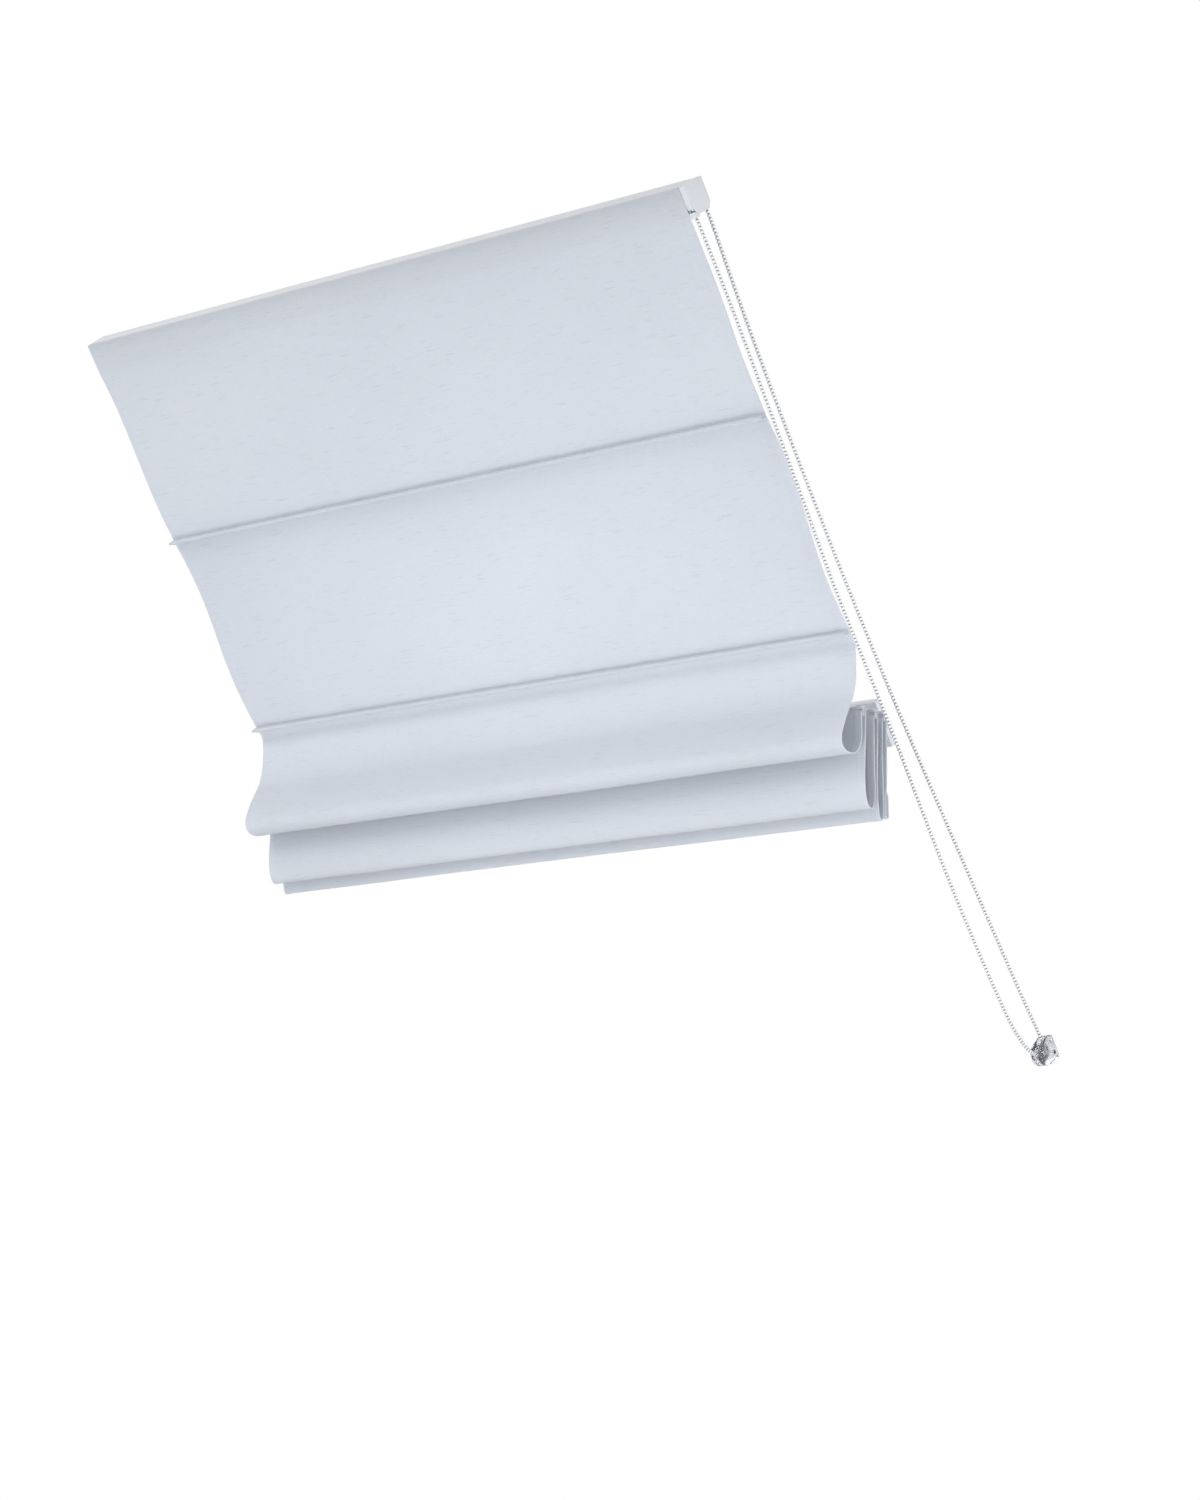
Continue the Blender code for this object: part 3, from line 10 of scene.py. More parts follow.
import bmesh
import bpy
from mathutils import Matrix, Vector, noise
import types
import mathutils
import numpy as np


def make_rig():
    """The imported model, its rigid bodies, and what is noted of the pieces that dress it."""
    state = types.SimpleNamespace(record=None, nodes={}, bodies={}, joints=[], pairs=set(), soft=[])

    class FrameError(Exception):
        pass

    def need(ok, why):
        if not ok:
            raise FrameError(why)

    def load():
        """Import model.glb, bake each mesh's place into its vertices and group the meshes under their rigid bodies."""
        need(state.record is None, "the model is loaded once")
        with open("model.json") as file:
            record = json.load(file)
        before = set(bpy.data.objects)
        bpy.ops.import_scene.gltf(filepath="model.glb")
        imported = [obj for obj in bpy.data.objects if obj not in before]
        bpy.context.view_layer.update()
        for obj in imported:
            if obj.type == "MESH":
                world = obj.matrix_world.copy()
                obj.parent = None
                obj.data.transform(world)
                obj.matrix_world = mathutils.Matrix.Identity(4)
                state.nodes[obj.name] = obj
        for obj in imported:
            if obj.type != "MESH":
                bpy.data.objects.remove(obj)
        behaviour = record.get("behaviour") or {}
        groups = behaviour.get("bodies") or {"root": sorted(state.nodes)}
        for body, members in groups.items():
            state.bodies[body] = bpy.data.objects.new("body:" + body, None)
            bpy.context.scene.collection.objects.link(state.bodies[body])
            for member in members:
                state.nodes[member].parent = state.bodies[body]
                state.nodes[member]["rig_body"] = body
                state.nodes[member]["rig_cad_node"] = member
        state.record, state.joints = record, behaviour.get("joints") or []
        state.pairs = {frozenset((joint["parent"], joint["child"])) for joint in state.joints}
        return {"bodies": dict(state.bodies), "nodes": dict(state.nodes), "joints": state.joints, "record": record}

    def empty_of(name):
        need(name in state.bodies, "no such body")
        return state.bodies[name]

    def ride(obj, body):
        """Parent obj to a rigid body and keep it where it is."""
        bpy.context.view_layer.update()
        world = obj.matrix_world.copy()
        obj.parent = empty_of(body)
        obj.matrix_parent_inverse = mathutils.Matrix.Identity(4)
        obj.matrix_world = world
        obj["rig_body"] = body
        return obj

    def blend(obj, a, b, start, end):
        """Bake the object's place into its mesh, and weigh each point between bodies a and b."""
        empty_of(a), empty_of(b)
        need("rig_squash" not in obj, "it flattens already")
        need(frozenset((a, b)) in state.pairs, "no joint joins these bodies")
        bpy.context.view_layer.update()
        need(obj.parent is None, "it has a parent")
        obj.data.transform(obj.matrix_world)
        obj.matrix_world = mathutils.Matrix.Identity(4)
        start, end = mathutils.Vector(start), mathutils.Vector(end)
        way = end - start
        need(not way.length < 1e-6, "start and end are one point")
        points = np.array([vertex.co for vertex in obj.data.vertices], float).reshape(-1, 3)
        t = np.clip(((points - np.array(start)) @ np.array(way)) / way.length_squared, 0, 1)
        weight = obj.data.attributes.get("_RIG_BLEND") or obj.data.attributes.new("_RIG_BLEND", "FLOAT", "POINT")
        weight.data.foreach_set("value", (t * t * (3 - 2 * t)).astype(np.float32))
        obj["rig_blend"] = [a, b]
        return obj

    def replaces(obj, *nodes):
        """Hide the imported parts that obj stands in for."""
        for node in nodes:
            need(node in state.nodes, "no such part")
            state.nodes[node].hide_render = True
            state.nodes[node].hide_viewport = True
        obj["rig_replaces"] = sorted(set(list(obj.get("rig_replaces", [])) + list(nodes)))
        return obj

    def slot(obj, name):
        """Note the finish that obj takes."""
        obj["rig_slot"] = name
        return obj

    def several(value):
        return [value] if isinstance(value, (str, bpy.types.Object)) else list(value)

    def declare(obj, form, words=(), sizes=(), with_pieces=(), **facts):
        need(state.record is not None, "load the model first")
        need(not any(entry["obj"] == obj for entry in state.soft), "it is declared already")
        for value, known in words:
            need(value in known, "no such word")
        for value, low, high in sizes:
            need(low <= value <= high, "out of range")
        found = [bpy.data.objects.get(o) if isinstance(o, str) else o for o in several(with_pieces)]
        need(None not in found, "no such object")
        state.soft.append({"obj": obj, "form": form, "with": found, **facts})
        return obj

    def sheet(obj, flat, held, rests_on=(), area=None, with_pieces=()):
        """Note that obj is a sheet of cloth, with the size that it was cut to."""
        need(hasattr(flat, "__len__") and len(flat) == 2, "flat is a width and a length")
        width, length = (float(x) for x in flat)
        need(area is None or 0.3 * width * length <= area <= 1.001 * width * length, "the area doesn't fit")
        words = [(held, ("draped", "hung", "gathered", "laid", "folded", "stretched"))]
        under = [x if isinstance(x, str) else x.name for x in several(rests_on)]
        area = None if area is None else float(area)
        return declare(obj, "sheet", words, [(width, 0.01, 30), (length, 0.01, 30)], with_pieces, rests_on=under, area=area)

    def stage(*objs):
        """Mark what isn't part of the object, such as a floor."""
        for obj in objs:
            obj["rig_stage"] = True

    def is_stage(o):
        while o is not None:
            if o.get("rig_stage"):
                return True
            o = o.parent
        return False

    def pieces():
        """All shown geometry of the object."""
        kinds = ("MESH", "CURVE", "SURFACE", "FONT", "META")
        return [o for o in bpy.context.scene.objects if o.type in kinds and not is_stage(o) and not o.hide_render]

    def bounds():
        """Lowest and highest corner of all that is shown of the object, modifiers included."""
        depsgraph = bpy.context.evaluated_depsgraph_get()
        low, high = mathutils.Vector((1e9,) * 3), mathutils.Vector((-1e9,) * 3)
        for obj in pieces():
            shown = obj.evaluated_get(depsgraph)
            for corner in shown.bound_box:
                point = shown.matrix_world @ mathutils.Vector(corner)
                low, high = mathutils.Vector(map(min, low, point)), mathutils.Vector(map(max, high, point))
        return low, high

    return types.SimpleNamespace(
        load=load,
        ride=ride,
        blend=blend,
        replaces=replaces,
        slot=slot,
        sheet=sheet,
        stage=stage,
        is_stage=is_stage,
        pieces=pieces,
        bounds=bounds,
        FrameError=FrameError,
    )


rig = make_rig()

# Sizes that repeat the CAD part's
ROOF_PITCH = radians(55.0)
FABRIC_WIDTH = 1.0
FABRIC_THICKNESS = 0.0009
STANDOFF = 0.036
FIT_GAP = 0.0003
TUCK_1_DROP = 0.288
TUCK_2_DROP = 0.573
PANEL_1_SAG = 0.0022
PANEL_2_SAG = 0.0055
BATTEN_RADIUS = 0.0015
BATTEN_INSET = 0.009
TUCK_REACH = 0.0117
TUCK_NECK_GAP = 0.0004
TUCK_CLEARANCE = 0.001
FOLD_TURN_RADIUS = 0.0009
STACK_TOP = 0.088
LOOP_1_BACK = 0.0237
LOOP_1_BOTTOM = 0.1485
LOOP_1_FRONT = 0.0183
LOOP_2_WIDTH = 0.017
LOOP_2_BOTTOM = 0.21
LOOP_3_WIDTH = 0.0095
LOOP_3_BOTTOM = 0.2215
FLAP_BOTTOM = 0.219
HEM_HEIGHT = 0.03
WEIGHT_BAR_HEIGHT = 0.024
WEIGHT_BAR_THICKNESS = 0.004
RAIL_HEIGHT = 0.037
CORD_RADIUS = 0.0007
CORD_SPACING = 0.4
TAPE_HEIGHT = 0.008
TAPE_THICKNESS = 0.0006
RING_RADIUS = 0.005
RING_WIRE = 0.0009
RING_SINK = 0.0005
HOUSING_DEPTH = 0.0082
HOUSING_WALL = 0.0015
BEAD_RADIUS = 0.00255
SPROCKET_PITCH_RADIUS = 0.01275
SHAFT_SETBACK = 0.019
SPOOL_RADIUS = 0.0085
SPOOL_FLANGE_RADIUS = 0.0105
CORD_STANDOFF = 0.0095
GUIDE_BAR_DROP = 0.684
EYELET_STANDOFF = 0.01
EYELET_RADIUS = 0.005
EYELET_THICKNESS = 0.003
TENSIONER_DROP = 1.17
TENSIONER_SETBACK = 0.0245
TENSIONER_OFFSET = 0.034
TENSIONER_PITCH_RADIUS = 0.0105
TENSIONER_WIDTH = 0.012
TENSIONER_SCREW_DROP = 0.0095
TENSIONER_SCREW_BACK = 0.015

# The cloth's line. Loop 1 goes by shares of its reach to the back (or front, below 0) and of its height.
LOOP_1_KNOTS = (
    *((0.42, 0.075), (0.52, 0.16), (0.53, 0.27), (0.48, 0.4), (0.26, 0.53), (-0.11, 0.63)),
    *((-0.62, 0.75), (-0.94, 0.85), (-1, 0.905), (-0.86, 0.958), (-0.5, 0.99), (0, 1)),
    *((0.4, 0.99), (0.74, 0.95), (0.94, 0.875), (1, 0.79), (1, 0.7)),
)
LOOP_1_SHARE = 0.576
LOOP_2_BULGE = 0.0035
LOOP_3_BULGE = 0.002
FLAP_STRAIGHT = 0.035
FLAP_LEAN = 0.001
HEM_LEAD = 0.012
HEM_EASE = 0.0008
SAME_POINT = 0.00002
LEVEL_WITHIN = 0.00005
MITRE_LIMIT = 0.6

# Cloth detail
COLUMNS = 150
HEM_WIDTH = 0.012
HEM_SWELL = 0.0005
HEM_SLOPE = 0.0015
FREE_FROM = 0.05
RIPPLE = 0.0011
HEM_COLUMNS = (0.12, 0.3, 0.6, 0.85, 0.96)
EDGE_WANDER = 0.0005
TUCK_WANDER = 0.00035
PINCH_FROM = 0.0026
PINCHED_HALF = 0.00085
PINCH_WIDTH = 0.01
LINEN_THROUGH = 0.24
TAPE_THROUGH = 0.75
SLUB_STRETCH = (30.0, 560.0)
THREADS = 300.0

# Stitching
STITCH_LENGTH = 0.0027
STITCH_PITCH = 0.0036
STITCH_HALF = 0.00019
STITCH_TIP = 0.45
STITCH_LIFT = 0.0001
SEAM_INSET = 0.0024
TUCK_SEAM = 0.0016

# Cords, tapes and rings
RING_SIDES = 28
WIRE_SIDES = 10
WHIP_TURNS = 4
WHIP_SIDES = 12
WHIP_RADIUS = 0.00022
WHIP_STEP = radians(9)
TAPE_COLUMNS = 120
TAPE_WAVE = 0.00012
KNOT_RADIUS = 0.0011
KNOT_STEPS = 48
CORD_STEP = 0.006
TAIL_STEP = 0.0006
TAIL_LEAD = 0.0065
TAIL_SINK = 0.001
KNOT_PAST = 0.0022

# Hard pieces
EDGE_ROUND = 0.0004
SHARP_EDGE = radians(35)
SHARP_LOOK = radians(32)
SCREW_LOOK = radians(40)

# The tensioner's screw, in millimetres: (radius, along) of the cup washer and of the screw
CUP = ((2.9, 0), (4.55, 0), (4.6, 0.35), (4.45, 1), (4.1, 1.45), (3.6, 1.6), (3.15, 1.4), (2.9, 0.9))
SCREW = (
    *((1.8, -8), (1.8, 0), (2.75, 0.15), (2.75, 0.8)),
    *((2.6, 1.15), (2.1, 1.5), (1.3, 1.7), (0.4, 1.75)),
)
CROSS_BAR = (0.0022, 0.0034, 0.0008)
CROSS_TURN = 0.45
CROSS_LIFT = 0.0016

# Chain detail
BEAD_PITCH = 0.00465
BEAD_SQUASH = 0.89
BEAD_BARREL = 0.62
BEAD_HOLE = 0.11
BEAD_SEGMENTS = 14
BEAD_RINGS = 8
THREAD_RADIUS = 0.0007
CHAIN_EASE = 0.0012
WHEEL_LEAVE = -57

# The chain's strands from sprocket to wheel and back: down the slope, and in from the cloth
CHAIN_BACK = (
    *((0.16, 0.02), (0.28, 0.0124), (0.42, 0.007), (0.55, 0.0042), (0.68, 0.0046)),
    *((0.82, 0.0076), (0.96, 0.012), (1.08, 0.0162), (1.13, 0.019)),
)
CHAIN_FRONT = (
    *((1.163, -0.0056), (1.15, -0.014), (1.128, -0.0215), (1.095, -0.027), (1.02, -0.0305)),
    *((0.92, -0.0315), (0.82, -0.0285), (0.7, -0.023), (0.6, -0.0215), (0.5, -0.0195)),
    *((0.39, -0.012), (0.28, -0.0055), (0.17, 0.001), (0.08, 0.004)),
)

# Camera, from the photograph's perspective on a 1200 x 1500 image
CAMERA_PLACE = (3.0085, -3.2206, -1.3981)
CAMERA_FORWARD = (-0.626565, 0.758799, 0.177879)
FOCAL_PIXELS = 3659.9
IMAGE_HEIGHT = 1500
SENSOR = 36.0

# Stage and lamps: name, place, target, width and height, watts
FLOOR_LEVEL = -1.9
FLOOR_HALF = 9.0
FLOOR_GLOW = 0.8
WORLD_STRENGTH = 0.55
WINDOW_DROP = 0.8
WINDOW_SETBACK = 0.3
LAMPS = (
    ("key", (-0.8, -2.6, 1.3), (0, 0.2, -0.85), (1.7, 1.7), 36),
    ("low", (0.1, -0.75, -1.55), (0, 0.25, -0.85), (1.3, 0.6), 6.8),
    ("side", (2.4, -0.2, -0.7), (0.3, 0.3, -0.7), (1.6, 1.6), 15),
    ("ends", (1.3, 0.45, -0.75), (0.5, 0.33, -0.6), (0.5, 0.4), 1.2),
)
WINDOW_LAMP = ((0.85, 1.0), 2.2)

# Positions worked out from the sizes above
HALF_WIDTH = FABRIC_WIDTH / 2
HALF_CLOTH = FABRIC_THICKNESS / 2
RAIL_MIDDLE = RAIL_HEIGHT / 2
SHAFT_Y = -SHAFT_SETBACK
BULB_RADIUS = BATTEN_RADIUS + FIT_GAP + HALF_CLOTH
BULB_MIDDLE = TUCK_REACH - BULB_RADIUS - HALF_CLOTH
NECK_HALF = (FABRIC_THICKNESS + TUCK_NECK_GAP) / 2
HALF_ROOT = NECK_HALF + FOLD_TURN_RADIUS
TUCK_WIDTH = 2 * (BULB_RADIUS + HALF_CLOTH + HALF_CLOTH + TUCK_CLEARANCE)
SHOULDER = STACK_TOP + TUCK_WIDTH / 2
LOOP_2_FRONT = LOOP_1_BACK + TUCK_WIDTH
LOOP_2_BACK = LOOP_2_FRONT + LOOP_2_WIDTH
LOOP_3_FRONT = LOOP_2_BACK + TUCK_WIDTH
LOOP_3_BACK = LOOP_3_FRONT + LOOP_3_WIDTH
FLAP_FRONT = LOOP_3_BACK + TUCK_WIDTH
CHAIN_X = HALF_WIDTH + FIT_GAP + (HOUSING_WALL + HOUSING_DEPTH) / 2
TENSIONER_X = HALF_WIDTH + TENSIONER_OFFSET
CORD_SIDES = (("left", -CORD_SPACING), ("middle", 0.0), ("right", CORD_SPACING))
CORD_Y = -STANDOFF + CORD_STANDOFF
CORD_LEAVE_Y = SHAFT_Y - SPOOL_RADIUS - CORD_RADIUS - FIT_GAP
EYELET_Y = -EYELET_STANDOFF
EYELET_Z = RAIL_MIDDLE - GUIDE_BAR_DROP - EYELET_THICKNESS / 2 - FIT_GAP
LEAN = pi / 2 - ROOF_PITCH


def slope_point(y, z):
    """World Y and Z of a point of the slope frame: y into the ceiling, z up the slope."""
    return (y * cos(LEAN) - z * sin(LEAN), y * sin(LEAN) + z * cos(LEAN))


FOLD_Y, FOLD_Z = slope_point(-STANDOFF, RAIL_MIDDLE - TUCK_2_DROP)


def fold_point(y, z):
    """World Y and Z of a point of the fold frame, which hangs plumb from tuck 2's root."""
    return (FOLD_Y + y, FOLD_Z + z)


def hung(points):
    """Points of the fold frame in the world's Y and Z."""
    return [fold_point(y, z) for y, z in points]


def arc(centre, radius, start, stop, steps):
    """Points of an arc, angles in degrees."""
    points = []
    for i in range(steps + 1):
        angle = radians(start + (stop - start) * i / steps)
        points.append((centre[0] + radius * cos(angle), centre[1] + radius * sin(angle)))
    return points


def turns(count):
    """Angles at equal steps round a circle."""
    return [2 * pi * k / count for k in range(count)]


def smooth(points, steps):
    """A smooth curve through the points."""
    knots = [Vector(p) for p in points]
    run = [2 * knots[0] - knots[1]] + knots + [2 * knots[-1] - knots[-2]]
    result = []
    for i in range(1, len(run) - 2):
        before, first, last, after = run[i - 1 : i + 3]
        for k in range(steps):
            t = k / steps
            bend = 2 * first + (last - before) * t
            bend += (2 * before - 5 * first + 4 * last - after) * t**2
            bend += (3 * first - before - 3 * last + after) * t**3
            result.append(tuple(bend / 2))
    result.append(tuple(knots[-1]))
    return result


def lengths(points):
    """Length of the run up to each point."""
    run = [0.0]
    for before, after in zip(points, points[1:]):
        run.append(run[-1] + (after - before).length)
    return run


def ease(t):
    """0 below 0, 1 above 1, and smooth between them."""
    t = min(max(t, 0.0), 1.0)
    return t * t * (3 - 2 * t)


# The line of the cloth


def panel(start, length, sag, steps):
    """A flat panel on the slope that bulges first to the window and then to the room."""
    points = []
    for i in range(steps + 1):
        share = i / steps
        y = -STANDOFF + sag * sin(2 * pi * share)
        points.append(slope_point(y, RAIL_MIDDLE - start - length * share))
    return points


def pocket_start():
    """Angle at which the cloth, straight from the tuck's root, meets its batten."""
    back = BULB_MIDDLE - FOLD_TURN_RADIUS
    away = hypot(back, NECK_HALF)
    return 180 - degrees(atan2(NECK_HALF, back) + acos(BULB_RADIUS / away))


def front_tuck(drop):
    """A tuck that stands out from the slope into the room, round its batten."""
    turn = FOLD_TURN_RADIUS
    half = arc((turn, NECK_HALF + turn), turn, 180, 270, 5)
    for share in (0.25, 0.5, 0.75):
        aside = NECK_HALF + (BULB_RADIUS - NECK_HALF) * share
        half.append((turn + (BULB_MIDDLE - turn) * share, aside))
    half += arc((BULB_MIDDLE, 0), BULB_RADIUS, pocket_start(), 0, 9)
    run = half + [(along, -aside) for along, aside in half[-2::-1]]
    return [slope_point(-STANDOFF - along, RAIL_MIDDLE - drop + aside) for along, aside in run]


def hung_tuck(y_back, y_front):
    """Over the top of the folds, with a tuck in the middle that holds a batten."""
    middle = (y_back + y_front) / 2
    turn = (middle - NECK_HALF - y_back) / 2
    bulb = -STACK_TOP - BULB_MIDDLE
    points = arc((y_back + turn, -STACK_TOP - turn), turn, 180, 0, 10)
    points.append((middle - NECK_HALF, bulb + 1.5 * BULB_RADIUS))
    points += arc((middle, bulb), BULB_RADIUS, 135, 405, 18)
    points.append((middle + NECK_HALF, bulb + 1.5 * BULB_RADIUS))
    points += arc((y_front - turn, -STACK_TOP - turn), turn, 180, 0, 10)
    return hung(points)


def loop_1():
    """Hangs from tuck 2, swings forward and turns up behind."""
    root = slope_point(-STANDOFF, RAIL_MIDDLE - TUCK_2_DROP - HALF_ROOT)
    knots = [(root[0] - FOLD_Y, root[1] - FOLD_Z)]
    for aside, down in LOOP_1_KNOTS:
        depth = LOOP_1_BACK if aside > 0 else LOOP_1_FRONT
        knots.append((aside * depth, -down * LOOP_1_BOTTOM))
    knots.append((LOOP_1_BACK, -SHOULDER))
    return hung(smooth(knots, 5))


def hanging_loop(y_front, y_back, bottom, bulge):
    """A gathered loop, down at y_front and up again at y_back."""
    wide = y_back - y_front
    depth = bottom - STACK_TOP
    knots = [
        (y_front, -SHOULDER),
        (y_front - bulge * 0.3, -STACK_TOP - depth * 0.3),
        (y_front - bulge, -STACK_TOP - depth * 0.6),
        (y_front - bulge, -STACK_TOP - depth * 0.82),
        (y_front + wide * 0.08 - bulge * 0.5, -bottom + depth * 0.06),
        (y_front + wide * 0.34 - bulge * 0.2, -bottom),
        (y_front + wide * 0.68, -bottom),
        (y_back - wide * 0.06 + bulge * 0.2, -bottom + depth * 0.06),
        (y_back + bulge * 0.4, -STACK_TOP - depth * 0.8),
        (y_back, -STACK_TOP - depth * 0.5),
        (y_back, -SHOULDER),
    ]
    return hung(smooth(knots, 8))


def flap():
    """The bottom flap below its batten, with the hem round the weight bar."""
    front = FLAP_FRONT - TUCK_WIDTH / 2 + WEIGHT_BAR_THICKNESS / 4
    hem_front = front - HALF_CLOTH - FIT_GAP
    hem_back = front + WEIGHT_BAR_THICKNESS + HALF_CLOTH + FIT_GAP
    turn = (hem_back - hem_front) / 2
    low = -FLAP_BOTTOM + turn
    knots = [(FLAP_FRONT, -SHOULDER), (FLAP_FRONT, -STACK_TOP - FLAP_STRAIGHT)]
    knots.append((FLAP_FRONT - FLAP_LEAN, low + HEM_HEIGHT + HEM_LEAD))
    line = smooth(knots + [(hem_front, low + WEIGHT_BAR_HEIGHT)], 8)
    line += arc(((hem_front + hem_back) / 2, low), turn, 180, 360, 12)
    line.append((hem_back, low + WEIGHT_BAR_HEIGHT))
    line.append((hem_front + FABRIC_THICKNESS + 2 * FIT_GAP + HEM_EASE, low + HEM_HEIGHT))
    return hung(line)


class Line:
    """The cloth's middle line from the headrail to the hem, with named stretches."""

    def __init__(self):
        self.points = []
        self.stretches = {}
        self.tucks = []

    def add(self, name, points, root=None, out=None):
        """Append a stretch. A tuck has a root and a direction."""
        first = max(len(self.points) - 1, 0)
        for point in points:
            if not self.points or (Vector(point) - Vector(self.points[-1])).length > SAME_POINT:
                self.points.append(point)
        self.stretches[name] = (first, len(self.points) - 1)
        if root:
            self.tucks.append((*self.stretches[name], Vector(root), Vector(out)))

    def settle(self):
        """Work out the length so far, the normal and the pinch at each point."""
        points = [Vector(p) for p in self.points]
        self.along = lengths(points)
        steps = [(after - before).normalized() for before, after in zip(points, points[1:])]
        self.normals = []
        for before, after in zip(steps[:1] + steps, steps + steps[-1:]):
            side = Vector((-before.y - after.y, before.x + after.x)).normalized()
            reach = 1 / max(side.dot(Vector((-after.y, after.x))), MITRE_LIMIT)
            self.normals.append(side * reach)
        self.still_along = [(self.along[a], self.along[b]) for a, b, *rest in self.tucks]
        self.room = 1 if self.normals[1].x < 0 else -1
        hem = FOLD_Z - FLAP_BOTTOM + HEM_HEIGHT
        first, last = self.stretches["flap"]
        self.hem_front = self.along[next(i for i in range(first, last) if self.points[i][1] < hem)]
        self.pinches = [Vector((0, 0)) for p in points]
        for first, last, root, out in self.tucks:
            for i in range(first, last + 1):
                reach = (points[i] - root).dot(out)
                aside = points[i] - root - out * reach
                if reach > PINCH_FROM and aside.length > PINCHED_HALF:
                    self.pinches[i] = aside.normalized() * (PINCHED_HALF - aside.length)

    def freedom(self, s):
        """0 on a tuck or the headrail, rising to 1 out in a panel."""
        free = ease((s - RAIL_HEIGHT) / FREE_FROM)
        for low, high in self.still_along:
            free = min(free, ease(max(low - s, s - high, 0.0) / FREE_FROM))
        return free

    def span(self, stretches):
        """The first and the last point of a run of stretches."""
        return self.stretches[stretches[0]][0], self.stretches[stretches[-1]][1]


def cloth_line():
    """The whole line. Loops are cut in two at their lowest point."""
    line = Line()
    forward = slope_point(-1, 0)
    starts = (RAIL_HEIGHT, TUCK_1_DROP + HALF_ROOT)
    tucks = (TUCK_1_DROP, PANEL_1_SAG, 64), (TUCK_2_DROP, PANEL_2_SAG, 72)
    for number, (start, (drop, sag, steps)) in enumerate(zip(starts, tucks), 1):
        points = panel(start, drop - HALF_ROOT - start, sag, steps)
        if number == 1:
            points.insert(0, slope_point(-STANDOFF, RAIL_MIDDLE))
        line.add(f"panel_{number}", points)
        root = slope_point(-STANDOFF, RAIL_MIDDLE - drop)
        line.add(f"tuck_{number}", front_tuck(drop), root, forward)
    second = hanging_loop(LOOP_2_FRONT, LOOP_2_BACK, LOOP_2_BOTTOM, LOOP_2_BULGE)
    third = hanging_loop(LOOP_3_FRONT, LOOP_3_BACK, LOOP_3_BOTTOM, LOOP_3_BULGE)
    loops = (loop_1(), LOOP_1_BACK), (second, LOOP_2_BACK), (third, LOOP_3_BACK)
    for number, (loop, y_back) in enumerate(loops, 1):
        lowest = min(z for y, z in loop) + LEVEL_WITHIN
        bottom = [i for i, (y, z) in enumerate(loop) if z < lowest]
        cut = bottom[len(bottom) // 2]
        line.add(f"loop_{number}_front", loop[: cut + 1])
        line.add(f"loop_{number}_back", loop[cut:])
        over = hung_tuck(y_back, y_back + TUCK_WIDTH)
        root = fold_point(y_back + TUCK_WIDTH / 2, -STACK_TOP)
        line.add(f"tuck_{number + 2}", over, root, (0, -1))
    line.add("flap", flap())
    line.settle()
    return line


def ripple(x, s, free):
    """How far the cloth stands off its line: broad, shallow and uneven."""
    broad = noise.noise(Vector((2.6 * x, 5.5 * s, 0.4)))
    fine = noise.noise(Vector((7.5 * x + 3.0, 11.0 * s, 4.7)))
    return free * RIPPLE * (1.5 * broad + 0.45 * fine)


def in_scene(name, data):
    """An object of the data, in the scene's collection."""
    obj = bpy.data.objects.new(name, data)
    bpy.context.scene.collection.objects.link(obj)
    return obj


def new_mesh(name, verts, faces, coords=None):
    """A smooth mesh object; coords holds each point's place across and along its cloth or cord."""
    mesh = bpy.data.meshes.new(name)
    mesh.from_pydata(verts, [], faces)
    mesh.validate()
    mesh.shade_smooth()
    if coords:
        layer = mesh.attributes.new("weave", "FLOAT_VECTOR", "POINT")
        layer.data.foreach_set("vector", [c for u, v in coords for c in (u, v, 0.0)])
    mesh.update()
    return in_scene(name, mesh)


def shell(rows, ring, base=0, closed=False, capped=True):
    """Faces over rows of points, each row a ring; the ends are capped unless the rows close up."""
    faces = []
    for i in range(rows if closed else rows - 1):
        near, far = base + i * ring, base + (i + 1) % rows * ring
        for j in range(ring):
            k = (j + 1) % ring
            faces.append((near + j, near + k, far + k, far + j))
    if capped and not closed:
        last = base + (rows - 1) * ring
        faces += [tuple(range(base, base + ring))[::-1], tuple(range(last, last + ring))]
    return faces


def across():
    """X of each column, closer together at the sides, where the hems are."""
    inner = HALF_WIDTH - HEM_WIDTH
    columns = [-inner + 2 * inner * i / COLUMNS for i in range(COLUMNS + 1)]
    edge = [inner + HEM_WIDTH * share for share in HEM_COLUMNS]
    return [-x for x in edge[::-1]] + columns + edge


def half_thickness(x):
    """From the cloth's middle to its face, more in the side hems."""
    return HALF_CLOTH + HEM_SWELL * ease((abs(x) - HALF_WIDTH + HEM_WIDTH) / HEM_SLOPE) / 2


def placed(x, s, free, point, normal, pinch, stand):
    """A cloth point that stands off the middle. Tucks are pressed flat at the sides."""
    off = normal * (ripple(x, s, free) + stand)
    closed = ease((abs(x) - HALF_WIDTH + PINCH_WIDTH) / (0.8 * PINCH_WIDTH))
    uneven = (1 - free) * TUCK_WANDER * noise.noise(Vector((24.0 * x, 3.0 * s, 8.1)))
    stray = EDGE_WANDER * noise.noise(Vector((1.7, 14.0 * s, 2.2)))
    y = point[0] + off.x + pinch.x * closed
    z = point[1] + off.y + pinch.y * closed + uneven
    return (x + stray * x / HALF_WIDTH, y, z)


